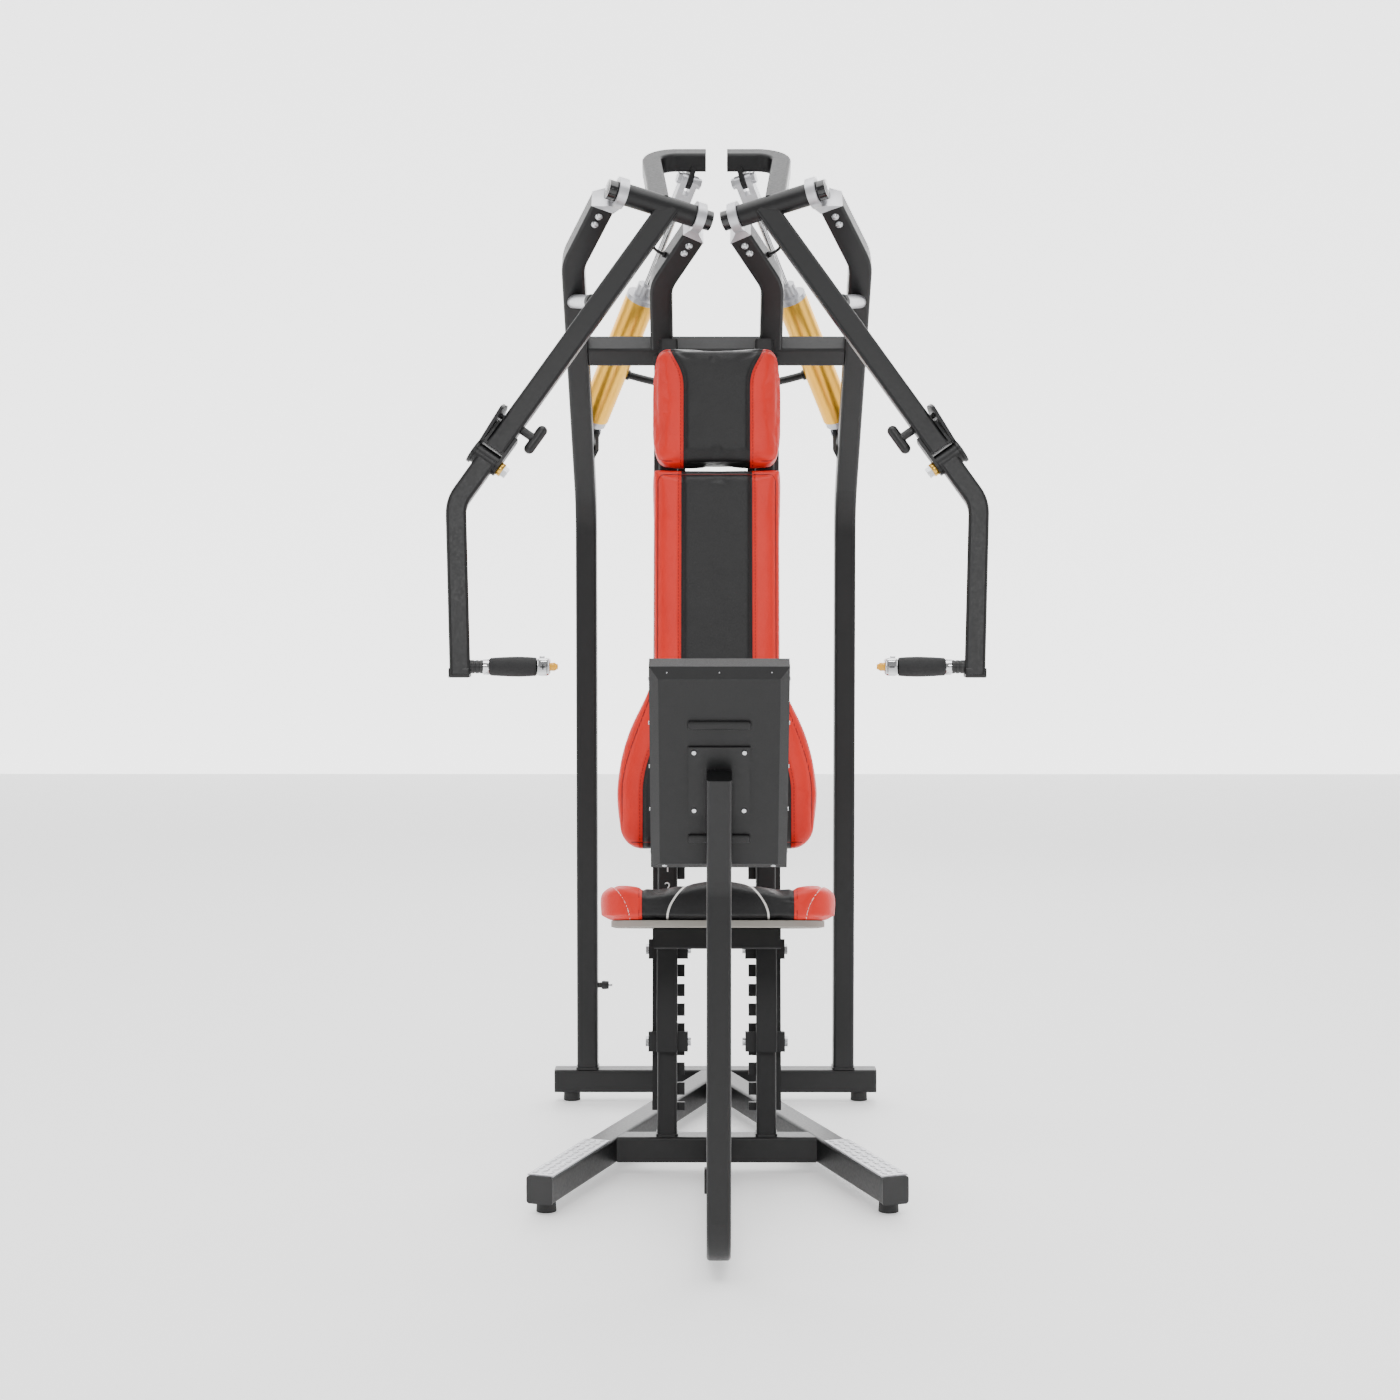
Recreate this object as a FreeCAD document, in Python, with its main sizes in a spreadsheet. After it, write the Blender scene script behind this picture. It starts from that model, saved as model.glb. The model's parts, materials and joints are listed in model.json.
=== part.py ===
import FreeCAD, Part
import math
import os
import Sketcher

# Plate-free chest press: two converging arms work against air cylinders.
# +Z is up, the seated user faces -Y, and "left" is the -X side.
# The origin is on the floor under the middle of the machine.

V = FreeCAD.Vector
X_AXIS = V(1, 0, 0)
Y_AXIS = V(0, 1, 0)
Z_AXIS = V(0, 0, 1)
SIDES = (("left", -1), ("right", 1))

os.makedirs("parts", exist_ok=True)
doc = FreeCAD.newDocument("chest_press")

# ---------------------------------------------------------------- driving dimensions (mm, degrees)
SIZES = [
    ("overall_depth", 1441.0),
    # base
    ("base_tube", 50.0), ("base_wall", 3.0), ("tube_corner", 6.0),
    ("foot_height", 20.0), ("foot_diameter", 37.0),
    ("rear_bar_length", 703.0), ("rear_foot_x", 314.6),
    ("leg_end_x", 320.0), ("leg_end_forward", 917.0), ("leg_foot_setback", 32.0),
    ("front_bar_forward", 602.0), ("cap_thickness", 4.0), ("tread_thickness", 3.0),
    # uprights and the leaning top
    ("upright_tube", 45.0), ("upright_wall", 3.0), ("upright_x", 279.5),
    ("lean_height", 1300.0), ("lean_angle", 46.3), ("lean_radius", 150.0),
    ("crossbar_along", 435.0), ("bracket_x", 109.5), ("bracket_bend_radius", 90.0),
    ("outer_bend_along", 665.0), ("outer_end_x", 217.0), ("outer_end_along", 803.0),
    ("inner_bend_along", 615.0), ("inner_end_x", 45.0), ("inner_end_along", 733.0),
    ("flange_thickness", 5.0), ("flange_margin", 4.0),
    # arm pivot: centre, and the direction of its axis
    ("pivot_x", 109.5), ("pivot_forward", 593.0), ("pivot_height", 1848.0),
    ("pivot_yaw", 18.0), ("pivot_rise", 14.0), ("bearing_offset", 79.0),
    ("ring_diameter", 58.0), ("ring_bore", 46.0), ("ring_width", 18.0),
    ("shaft_diameter", 25.0), ("shaft_fit", 0.05), ("pivot_tube_diameter", 42.0),
    ("shaft_cap_diameter", 38.0), ("shaft_cap_length", 16.0), ("side_gap", 1.0),
    # press arm
    ("arm_tube", 40.0), ("arm_wall", 3.0), ("arm_root_inset", 19.5),
    ("hinge_x", 427.0), ("hinge_forward", 708.0), ("hinge_height", 1361.6),
    ("barrel_diameter", 40.0), ("cheek_thickness", 6.0), ("cheek_reach", 62.0),
    ("sector_thickness", 6.0), ("sector_radius", 104.0), ("sector_half_angle", 34.0),
    ("index_radius", 84.0), ("index_step", 10.0), ("hinge_bolt_diameter", 16.0),
    # lower arm and its handle
    ("lower_tube", 38.0), ("lower_wall", 3.0), ("lower_bend_reach", 101.0),
    ("lower_bend_radius", 65.0), ("lower_length", 320.0), ("lower_toe_in", 1.0),
    ("grip_above_end", 16.0), ("grip_diameter", 35.0), ("grip_length", 86.0),
    ("stub_diameter", 25.0), ("stub_length", 24.0), ("collar_length", 12.0),
    ("collar_diameter", 30.0), ("head_length", 23.0), ("head_diameter", 34.0),
    ("button_diameter", 18.0), ("button_proud", 13.0), ("button_travel", 4.0),
    # pull pin
    ("pin_diameter", 10.0), ("pin_reach", 31.0), ("knob_diameter", 20.0), ("knob_length", 61.0),
    # lever hoop over the pivot
    ("hoop_tube", 38.0), ("hoop_x", 132.0), ("hoop_forward", 345.0), ("hoop_height", 1976.0),
    ("hoop_radius", 48.0), ("hoop_end_x", 21.0), ("lug_thickness", 10.0),
    # cylinder and rod
    ("cylinder_x", 272.0), ("cylinder_forward", 65.0), ("cylinder_height", 1457.0),
    ("rod_end_x", 53.0), ("rod_end_forward", 345.0), ("rod_end_height", 1935.0),
    ("cylinder_diameter", 65.0), ("cylinder_wall", 4.0), ("cylinder_start", 36.0),
    ("cylinder_length", 286.0), ("cylinder_cap", 10.0), ("gland_diameter", 36.0),
    ("gland_length", 24.0), ("rod_diameter", 14.0), ("rod_fit", 0.05),
    ("piston_length", 30.0), ("clevis_length", 70.0), ("clevis_width", 34.0),
    ("clevis_side_gap", 0.6), ("clevis_bolt", 12.0),
    ("clevis_top", 13.0), ("foot_pin", 12.0), ("foot_eye", 20.0), ("foot_ear", 8.0), ("soft_gap", 0.3),
    # arm stops
    ("stop_along", 582.0), ("stop_drop", 26.0), ("stop_outset", 12.0), ("stop_diameter", 27.0), ("bumper_diameter", 30.0),
    ("bumper_length", 22.0), ("stop_gap", 0.5),
    # seat column
    ("column_recline", 9.3), ("guide_x", 95.6), ("guide_tube", 38.0), ("guide_wall", 3.0),
    ("rail_width", 63.0), ("rail_depth", 16.0), ("rail_start", 45.0),
    ("rack_pitch", 38.0), ("rack_slot", 14.0), ("rack_width", 17.0), ("rack_rows", 15.0),
    # seat carriage
    ("carriage_height", 394.0), ("clamp_height", 38.0), ("clamp_wall", 6.0),
    ("clamp_gap", 0.5), ("clamp_spacing", 178.0), ("leg_depth", 20.0),
    ("seat_frame_width", 230.0), ("seat_frame_depth", 290.0), ("seat_frame_tube", 38.0),
    ("seat_board", 11.0), ("seat_width", 415.0), ("seat_depth", 385.0), ("seat_height", 57.0),
    # back and head pads
    ("pad_board", 15.0), ("pad_standoff", 26.0), ("pad_thickness", 68.0),
    ("pad_width", 250.0), ("pad_flare", 384.0), ("pad_low", 547.0), ("pad_high", 1282.0),
    ("flare_start", 916.0), ("flare_full", 653.0), ("head_low", 1288.0), ("head_high", 1525.0),
    # display
    ("post_tube", 40.0), ("post_wall", 2.5), ("post_forward", 1306.0), ("post_bend_height", 650.0),
    ("post_bend_radius", 90.0), ("display_lean", 22.0),
    ("display_width", 221.0), ("display_height", 358.0), ("display_depth", 34.0),
    ("display_bevel", 15.0), ("bezel_depth", 12.0), ("bezel_border", 22.0),
    ("lens_thickness", 3.0), ("mount_plate", 4.0), ("plate_width", 98.0), ("plate_height", 121.0),
    ("tread_length", 275.0),
    ("screw_setback", 18.0), ("screw_pitch", 20.0), ("screw_shank", 8.0), ("screw_head", 16.0),
    ("screw_clearance", 0.2), ("spigot_length", 55.0),
    ("rail_x", 93.7), ("column_run", 1700.0), ("leg_width", 40.0), ("carriage_corner", 3.0),
    ("seat_back", 134.0), ("soft_edge", 18.0), ("pad_bracket_tall", 60.0), ("bracket_wall", 3.0),
    ("post_rise", 194.0), ("plate_along", 176.0), ("display_low", 10.0), ("post_foot_radius", 60.0),
    ("display_wall", 3.0), ("port_along", 150.0), ("fitting_x", 36.0), ("fitting_reach", 46.0), ("hose_diameter", 16.0), ("line_diameter", 6.0),
]

sheet = doc.addObject("Spreadsheet::Sheet", "sizes")
for row, (alias, value) in enumerate(SIZES, start=1):
    sheet.set("A%d" % row, alias)
    sheet.set("B%d" % row, str(value))
    sheet.setAlias("B%d" % row, alias)
doc.recompute()

nodes = []


def size(alias):
    return float(sheet.get(alias))


def bind(target, **expressions):
    """Ties properties of an object to cells of the sheet."""
    for name, expression in expressions.items():
        for alias, _ in SIZES:
            expression = _tie(expression, alias)
        target.setExpression(name, expression)


def _tie(expression, alias):
    words = expression.split(" ")
    return " ".join("sizes." + word if word == alias else word for word in words)


def node(thing, label):
    """Marks an object as one piece of the machine."""
    thing.Label = label
    nodes.append(thing)
    return thing


def axes(origin, z_axis, x_axis):
    """Placement whose local Z follows z_axis and whose local X is as near x_axis as it can be."""
    turn = FreeCAD.Rotation(x_axis, V(), z_axis, "ZXY")
    return FreeCAD.Placement(origin, turn)


def feature(name, shape, placement=None):
    thing = doc.addObject("Part::Feature", name)
    thing.Shape = shape
    if placement:
        thing.Placement = placement
    return thing


# ---------------------------------------------------------------- sketch and solid helpers
def new_sketch(body, name):
    sketch = body.newObject("Sketcher::SketchObject", name)
    plane = next(item for item in body.Origin.OriginFeatures if item.Role == "XY_Plane")
    sketch.AttachmentSupport = [(plane, "")]
    sketch.MapMode = "FlatFace"
    return sketch


def constrain(sketch, kind, references, value, name, expression):
    index = sketch.addConstraint(Sketcher.Constraint(kind, *references, value))
    sketch.renameConstraint(index, name)
    bind(sketch, **{"Constraints." + name: expression})


def add_rectangle(sketch, wide, tall, tag):
    """Rectangle centred on the sketch origin; wide and tall are expressions."""
    first = sketch.GeometryCount
    corners = [V(-9, -7, 0), V(9, -7, 0), V(9, 7, 0), V(-9, 7, 0)]
    for start, end in zip(corners, corners[1:] + corners[:1]):
        sketch.addGeometry(Part.LineSegment(start, end), False)
    for edge in range(4):
        following = first + (edge + 1) % 4
        sketch.addConstraint(Sketcher.Constraint("Coincident", first + edge, 2, following, 1))
    for edge, direction in enumerate(("Horizontal", "Vertical", "Horizontal", "Vertical")):
        sketch.addConstraint(Sketcher.Constraint(direction, first + edge))
    sketch.addConstraint(Sketcher.Constraint("Symmetric", first, 1, first + 1, 2, -1, 1))
    constrain(sketch, "DistanceX", (first, 1, first, 2), 18.0, "wide" + tag, wide)
    constrain(sketch, "DistanceY", (first + 1, 1, first + 1, 2), 14.0, "tall" + tag, tall)


def pad(body, sketch, length):
    feature_pad = body.newObject("PartDesign::Pad", "Pad")
    feature_pad.Profile = sketch
    bind(feature_pad, Length=length)
    doc.recompute()
    return feature_pad


def round_long_edges(body, base, wide, tall, radius):
    """Rounds the four outer edges that run along the piece."""
    picked = []
    for number, edge in enumerate(base.Shape.Edges, start=1):
        middle = edge.CenterOfMass
        along = abs(edge.tangentAt(edge.FirstParameter).z) > 0.99
        if along and abs(abs(middle.x) - wide / 2) < 0.01 and abs(abs(middle.y) - tall / 2) < 0.01:
            picked.append("Edge%d" % number)
    fillet = body.newObject("PartDesign::Fillet", "Rounding")
    fillet.Base = (base, picked)
    bind(fillet, Radius=radius)
    return fillet


def bar(name, wide, tall, length, placement, wall=None, corner="tube_corner"):
    """Straight square or flat bar along its own Z; with a wall it is a hollow tube."""
    body = doc.addObject("PartDesign::Body", name)
    sketch = new_sketch(body, "Section")
    add_rectangle(sketch, wide, tall, "Outer")
    if wall:
        add_rectangle(sketch, wide + " - 2 * " + wall, tall + " - 2 * " + wall, "Inner")
    block = pad(body, sketch, length)
    if corner:
        section = sketch.Shape.BoundBox
        round_long_edges(body, block, section.XLength, section.YLength, corner)
    body.Placement = placement
    doc.recompute()
    return body


def block(name, length, width, height, placement):
    box = doc.addObject("Part::Box", name)
    bind(box, Length=length, Width=width, Height=height)
    box.Placement = placement
    return box


def cut(name, base, *tools):
    for number, tool in enumerate(tools, start=1):
        result = doc.addObject("Part::Cut", "%s_cut_%d" % (name, number))
        result.Base = base
        result.Tool = tool
        base = result
    return base


def fuse(name, *things):
    result = doc.addObject("Part::MultiFuse", name + "_weld")
    result.Shapes = list(things)
    return result


def group(name, things):
    result = doc.addObject("Part::Compound", name + "_set")
    result.Links = list(things)
    return result


# ---------------------------------------------------------------- bent tube and free shapes
def rounded_face(centre, wide_axis, tall_axis, wide, tall, corner):
    """Flat rounded rectangle."""
    face = Part.makePlane(wide, tall, V(-wide / 2, -tall / 2, 0))
    if corner > 0:
        solid = face.extrude(Z_AXIS)
        upright_edges = [edge for edge in solid.Edges if edge.BoundBox.ZLength > 0.5]
        solid = solid.makeFillet(corner, upright_edges)
        face = next(f for f in solid.Faces if f.BoundBox.ZMax < 0.001)
    face.Placement = axes(centre, wide_axis.cross(tall_axis), wide_axis)
    return face


def sweep_face(face, corners, radii):
    """Carries a face along straight runs joined by bends of the given centre-line radii."""
    pieces = []
    here = corners[0]
    for index in range(1, len(corners)):
        run = corners[index] - corners[index - 1]
        run.normalize()
        if index < len(corners) - 1:
            onward = corners[index + 1] - corners[index]
            onward.normalize()
            turn = run.getAngle(onward)
            setback = radii[index - 1] * math.tan(turn / 2)
        else:
            setback = 0
        end = corners[index] - run * setback
        pieces.append(face.extrude(end - here))
        face = face.translated(end - here)
        if setback:
            hinge = run.cross(onward)
            hinge.normalize()
            centre = end + hinge.cross(run) * radii[index - 1]
            pieces.append(face.revolve(centre, hinge, math.degrees(turn)))
            face = face.rotated(centre, hinge, math.degrees(turn))
            here = corners[index] + onward * setback
    return pieces[0].fuse(pieces[1:]).removeSplitter()


def bent_tube(corners, radii, wide_axis, side, wall, corner):
    """Hollow square tube along bent runs."""
    run = corners[1] - corners[0]
    run.normalize()
    tall_axis = run.cross(wide_axis)
    tall_axis.normalize()
    outer = rounded_face(corners[0], wide_axis, tall_axis, side, side, corner)
    inner_side = side - 2 * wall
    inner = rounded_face(corners[0], wide_axis, tall_axis, inner_side, inner_side, corner - wall)
    return sweep_face(outer, corners, radii).cut(sweep_face(inner, corners, radii))


def rod_between(start, end, radius):
    return Part.makeCylinder(radius, (end - start).Length, start, end - start)


def capsule(start, end, radius):
    """Round bar with ball ends."""
    balls = [Part.makeSphere(radius, start), Part.makeSphere(radius, end)]
    return rod_between(start, end, radius).fuse(balls)


# ---------------------------------------------------------------- reference frames
rear_axis_y = size("overall_depth") / 2 - size("base_tube") / 2
base_low = size("foot_height")
base_mid = base_low + size("base_tube") / 2
base_top = base_low + size("base_tube")
lean = math.radians(size("lean_angle"))
lean_up = V(0, -math.sin(lean), math.cos(lean))
lean_out = V(0, math.cos(lean), math.sin(lean))
recline = math.radians(size("column_recline"))
column_up = V(0, math.sin(recline), math.cos(recline))
column_front = V(0, -math.cos(recline), math.sin(recline))


def point(x, forward, height):
    """A place given by its distance ahead of the rear bar's centre line."""
    return V(x, rear_axis_y - forward, height)


def on_lean(x, along, out=0.0):
    """A place in the leaning plane of the upright tubes above their bend."""
    return point(x, 0, size("lean_height")) + lean_up * along + lean_out * out


def on_column(x, ahead, up):
    """A place in the reclined frame of the seat column."""
    return point(x, size("front_bar_forward"), base_top) + column_front * ahead + column_up * up


# ---------------------------------------------------------------- base
def base_frame():
    half_bar = size("rear_bar_length") / 2
    cap = size("cap_thickness")
    start = point(-half_bar + cap, 0, base_mid)
    rear_bar = bar("rear_bar", "base_tube", "base_tube", "rear_bar_length - 2 * cap_thickness",
                   axes(start, X_AXIS, Y_AXIS), wall="base_wall")
    node(rear_bar, "rear_crossbar")
    low_corner = point(-half_bar, size("base_tube") / 2, base_low)
    rear_envelope = block("rear_envelope", "rear_bar_length", "base_tube", "base_tube",
                          FreeCAD.Placement(low_corner, FreeCAD.Rotation()))
    leg_length = "sqrt( leg_end_x ^ 2 + leg_end_forward ^ 2 )"
    legs, envelopes, caps, treads, feet = [], [], [], [], []
    for name, side in SIDES:
        end = point(side * size("leg_end_x"), size("leg_end_forward"), base_mid)
        start = point(0, 0, base_mid)
        run = end - start
        run.normalize()
        leg = bar("leg_" + name, "base_tube", "base_tube", leg_length + " - cap_thickness",
                  axes(start, run, Z_AXIS), wall="base_wall")
        other_side = block("other_side_" + name, "4 * base_tube", "leg_end_forward", "3 * base_tube",
                           FreeCAD.Placement(V(min(0, -side * 4 * size("base_tube")),
                                               rear_axis_y - size("leg_end_forward"), 0),
                                             FreeCAD.Rotation()))
        legs.append(cut("leg_" + name, leg, rear_envelope, other_side))
        envelopes.append(bar("leg_envelope_" + name, "base_tube", "base_tube", leg_length,
                             axes(start, run, Z_AXIS), corner=None))
        caps.append(bar("leg_cap_" + name, "base_tube + 1", "base_tube + 1", "cap_thickness",
                        axes(end - run * cap, run, Z_AXIS)))
        cap_start = point(side * (half_bar - cap), 0, base_mid)
        caps.append(bar("bar_cap_" + name, "base_tube", "base_tube", "cap_thickness",
                        axes(cap_start, X_AXIS * side, Y_AXIS)))
        tread_start = end - run * (size("tread_length") + cap)
        tread_start.z = base_top + size("tread_thickness") / 2
        treads.append(bar("tread_" + name, "tread_thickness", "base_tube", "tread_length",
                          axes(tread_start, run, Z_AXIS), corner=None))
        front_foot = end - run * size("leg_foot_setback")
        rear_foot = point(side * size("rear_foot_x"), 0, 0)
        for where, place in (("front", front_foot), ("rear", rear_foot)):
            foot = doc.addObject("Part::Cone", "foot_%s_%s" % (where, name))
            bind(foot, Radius1="foot_diameter / 2", Radius2="foot_diameter / 2 - 1",
                 Height="foot_height")
            foot.Placement = FreeCAD.Placement(V(place.x, place.y, 0), FreeCAD.Rotation())
            feet.append(foot)
    half_span = size("leg_end_x") * size("front_bar_forward") / size("leg_end_forward")
    front_bar = bar("front_bar", "base_tube", "base_tube",
                    "2 * leg_end_x * front_bar_forward / leg_end_forward",
                    axes(point(-half_span, size("front_bar_forward"), base_mid), X_AXIS, Y_AXIS),
                    wall="base_wall")
    node(cut("front_crossbar", front_bar, *envelopes), "front_crossbar")
    node(group("base_legs", legs), "base_legs")
    node(group("base_end_caps", caps), "base_end_caps")
    node(group("tread_plates", treads), "tread_plates")
    node(group("rubber_feet", feet), "rubber_feet")


# ---------------------------------------------------------------- uprights, crossbar and brackets
def bracket_path(side, where):
    """Centre line of the bent top of an upright (outer) or of an inner bracket (inner)."""
    if where == "outer":
        start = point(side * size("upright_x"), 0, base_top + size("flange_thickness"))
        return [start, on_lean(side * size("upright_x"), 0),
                on_lean(side * size("upright_x"), size("outer_bend_along")),
                on_lean(side * size("outer_end_x"), size("outer_end_along"))]
    foot = size("crossbar_along") + size("upright_tube") / 2
    return [on_lean(side * size("bracket_x"), foot),
            on_lean(side * size("bracket_x"), size("inner_bend_along")),
            on_lean(side * size("inner_end_x"), size("inner_end_along"))]


def pivot_axis(side):
    """Direction of the arm's hinge, from the inner bearing to the outer one."""
    yaw = math.radians(size("pivot_yaw"))
    rise = math.radians(size("pivot_rise"))
    return V(side * math.cos(rise) * math.cos(yaw), -math.cos(rise) * math.sin(yaw),
             math.sin(rise))


def pivot_centre(side):
    return point(side * size("pivot_x"), size("pivot_forward"), size("pivot_height"))


def bracket_bolts(path, grow=0.0):
    """Two button-head screws through the front face near a tube's end."""
    run = path[-1] - path[-2]
    run.normalize()
    half = size("upright_tube") / 2
    screws = []
    for back in (size("screw_setback"), size("screw_setback") + size("screw_pitch")):
        seat = path[-1] - run * back - lean_out * half
        shank = rod_between(seat + lean_out * (half - 4), seat, size("screw_shank") / 2 + grow)
        if grow:
            screws.append(shank)
            continue
        head = Part.makeSphere(size("screw_head") / 2, seat + lean_out * size("screw_head") * 0.18)
        dome = head.cut(Part.makeBox(60, 60, 60, V(-30, -30, 0)).transformGeometry(
            axes(seat, lean_out, X_AXIS).toMatrix()))
        screws.append(shank.fuse(dome))
    return screws


def bearing_block(path, centre, axis):
    """Cast eye with a flared foot on the tube's end and a spigot inside the tube."""
    side = size("upright_tube")
    run = path[-1] - path[-2]
    run.normalize()
    across = lean_out.cross(run)
    if across.dot(axis) < 0:
        across = across * -1
    foot = rectangle_wire(path[-1], across, lean_out, side, side)
    radial = centre - path[-1]
    radial = radial - axis * radial.dot(axis)
    radial.normalize()
    lateral = axis.cross(radial)
    if lateral.dot(lean_out) < 0:
        lateral = lateral * -1
    waist = rectangle_wire(centre - radial * size("ring_bore") * 0.35, axis, lateral,
                           size("ring_width"), size("ring_diameter") * 0.8)
    flare = Part.makeLoft([foot, waist], True, True)
    half = axis * (size("ring_width") / 2)
    ring = rod_between(centre - half, centre + half, size("ring_diameter") / 2)
    bore = rod_between(centre - half * 3, centre + half * 3, size("ring_bore") / 2)
    spigot_side = side - 2 * size("upright_wall") - 1
    spigot = rounded_face(path[-1], across, lean_out, spigot_side, spigot_side, 3)
    spigot = spigot.extrude(run * (-size("spigot_length")))
    block_shape = flare.fuse([ring, spigot]).cut(bore)
    return block_shape


def rectangle_wire(centre, wide_axis, tall_axis, wide, tall):
    corners = []
    for x, y in ((-1, -1), (1, -1), (1, 1), (-1, 1), (-1, -1)):
        corners.append(centre + wide_axis * (x * wide / 2) + tall_axis * (y * tall / 2))
    return Part.makePolygon(corners)


def upper_frame():
    inner_tubes, blocks, inserts, screws = [], [], [], []
    radii = {"outer": [size("lean_radius"), size("bracket_bend_radius")],
             "inner": [size("bracket_bend_radius")]}
    for name, side in SIDES:
        axis = pivot_axis(side)
        for where, sign in (("outer", 1), ("inner", -1)):
            path = bracket_path(side, where)
            centre = pivot_centre(side) + axis * (sign * size("bearing_offset"))
            tube = bent_tube(path, radii[where], X_AXIS, size("upright_tube"),
                             size("upright_wall"), size("tube_corner"))
            bearing = bearing_block(path, centre, axis)
            holes = bracket_bolts(path, size("screw_clearance"))
            tube = tube.cut(holes)
            bearing = bearing.cut(holes)
            if where == "outer":
                flange = bar("flange_upright_" + name, "upright_tube + flange_margin",
                             "upright_tube + flange_margin", "flange_thickness",
                             axes(point(side * size("upright_x"), 0, base_top), Z_AXIS, X_AXIS))
                upright = feature("upright_tube_" + name, tube)
                node(fuse("upright_" + name, upright, flange), "upright_" + name)
            else:
                inner_tubes.append(feature("inner_tube_" + name, tube))
            blocks.append(feature("block_%s_%s" % (where, name), bearing))
            half = axis * (size("ring_width") / 2)
            insert = rod_between(centre - half, centre + half, size("ring_bore") / 2)
            bore_radius = size("shaft_diameter") / 2 + size("shaft_fit")
            insert = insert.cut(rod_between(centre - half * 2, centre + half * 2, bore_radius))
            inserts.append(feature("insert_%s_%s" % (where, name), insert))
            for number, screw in enumerate(bracket_bolts(path), start=1):
                screws.append(feature("screw_%s_%s_%d" % (where, name, number), screw))
    half_span = size("upright_x") - size("upright_tube") / 2
    crossbar = bar("upper_bar", "upright_tube", "upright_tube", "2 * upright_x - upright_tube",
                   axes(on_lean(-half_span, size("crossbar_along")), X_AXIS, lean_out),
                   wall="upright_wall")
    node(crossbar, "upper_crossbar")
    node(group("inner_brackets", inner_tubes), "inner_brackets")
    node(group("bearing_blocks", blocks), "bearing_blocks")
    node(group("bearing_inserts", inserts), "bearing_inserts")
    return screws


# ---------------------------------------------------------------- press arms
def arm_lines(side):
    """Root on the hinge axis, hinge centre of the lower arm, and the arm's three directions."""
    axis = pivot_axis(side)
    root = pivot_centre(side) - axis * size("arm_root_inset")
    hinge = point(side * size("hinge_x"), size("hinge_forward"), size("hinge_height"))
    down = hinge - root
    down.normalize()
    inward = Y_AXIS.cross(down) * side
    inward.normalize()
    if inward.x * side > 0:
        inward = inward * -1
    front = down.cross(inward)
    if front.y > 0:
        front = front * -1
    front.normalize()
    return root, hinge, down, inward, front


def box_at(centre, wide_axis, tall_axis, wide, tall, length):
    """Straight block whose middle is at centre; its length runs along wide x tall."""
    along = wide_axis.cross(tall_axis)
    start = centre - along * (length / 2)
    return rounded_face(start, wide_axis, tall_axis, wide, tall, 0).extrude(along * length)


def press_arm(name, side):
    axis = pivot_axis(side)
    centre = pivot_centre(side)
    root, hinge, down, inward, front = arm_lines(side)
    half_tube = size("bearing_offset") - size("ring_width") / 2 - size("side_gap")
    sleeve = rod_between(centre - axis * half_tube, centre + axis * half_tube,
                         size("pivot_tube_diameter") / 2)
    bore = rod_between(centre - axis * half_tube * 2, centre + axis * half_tube * 2,
                       size("shaft_diameter") / 2)
    tube_end = hinge - down * (size("barrel_diameter") / 2 + 2)
    tube = bent_tube([root, tube_end], [], inward, size("arm_tube"), size("arm_wall"),
                     size("tube_corner")).cut(sleeve)
    offset = size("arm_tube") / 2 + size("cheek_thickness") / 2
    reach = size("cheek_reach")
    cheek = box_at(hinge + inward * offset - down * (reach / 2), inward, front,
                   size("cheek_thickness"), size("barrel_diameter") - 4, reach)
    cheek_eye = rod_between(hinge + inward * (size("arm_tube") / 2),
                            hinge + inward * (size("arm_tube") / 2 + size("cheek_thickness")),
                            size("barrel_diameter") / 2 - 2)
    rub = box_at(hinge - inward * (size("arm_tube") / 2 + 2.5) - down * (reach * 0.75),
                 inward, front, 5, size("arm_tube") - 8, reach * 0.8)
    plug = box_at(tube_end - down * 2, inward, front, size("arm_tube") - 1,
                  size("arm_tube") - 1, 4)
    bolt_hole = rod_between(hinge, hinge + inward * 90, size("hinge_bolt_diameter") / 2)
    pin_place = hinge - down * size("index_radius")
    pin_hole = rod_between(pin_place - inward * 60, pin_place + inward * 60,
                           size("pin_diameter") / 2 + size("shaft_fit"))
    weld = tube.fuse([sleeve, cheek, cheek_eye, rub, plug])
    weld = weld.cut([bore, bolt_hole, pin_hole])
    node(feature("arm_weldment_" + name, weld), "press_arm_" + name)

    caps = []
    for sign in (-1, 1):
        near = centre + axis * (sign * (size("bearing_offset") + size("ring_width") / 2
                                        + size("side_gap")))
        caps.append(rod_between(near, near + axis * (sign * size("shaft_cap_length")),
                                size("shaft_cap_diameter") / 2))
    reach = size("bearing_offset") + size("ring_width") / 2 + size("side_gap") + 1
    shaft = rod_between(centre - axis * reach, centre + axis * reach, size("shaft_diameter") / 2)
    node(feature("shaft_" + name, shaft.fuse(caps)), "pivot_shaft_" + name)

    start = hinge - inward * (size("arm_tube") / 2 + 10)
    shank = rod_between(start, hinge + inward * (size("arm_tube") / 2 + 20),
                        size("hinge_bolt_diameter") / 2)
    face = hinge + inward * (size("arm_tube") / 2 + size("cheek_thickness"))
    bush = rod_between(face, face + inward * 9, 12)
    head = hexagon(face + inward * 9, inward, front, 19, 9)
    node(feature("hinge_screw_" + name, shank.fuse([bush, head])), "hinge_bolt_" + name)

    tip = pin_place - inward * (size("arm_tube") / 2 + 5.5)
    knob_at = pin_place + inward * (size("arm_tube") / 2 + size("pin_reach"))
    half_knob = size("knob_length") / 2 - size("knob_diameter") / 2
    pin = rod_between(tip, knob_at, size("pin_diameter") / 2)
    barrel = rod_between(pin_place + inward * (size("arm_tube") / 2 + 0.5), knob_at,
                         size("pin_diameter") * 0.8)
    knob = capsule(knob_at - down * half_knob, knob_at + down * half_knob,
                   size("knob_diameter") / 2)
    node(feature("pull_pin_" + name, pin.fuse([barrel, knob])), "pull_pin_" + name)


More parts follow.
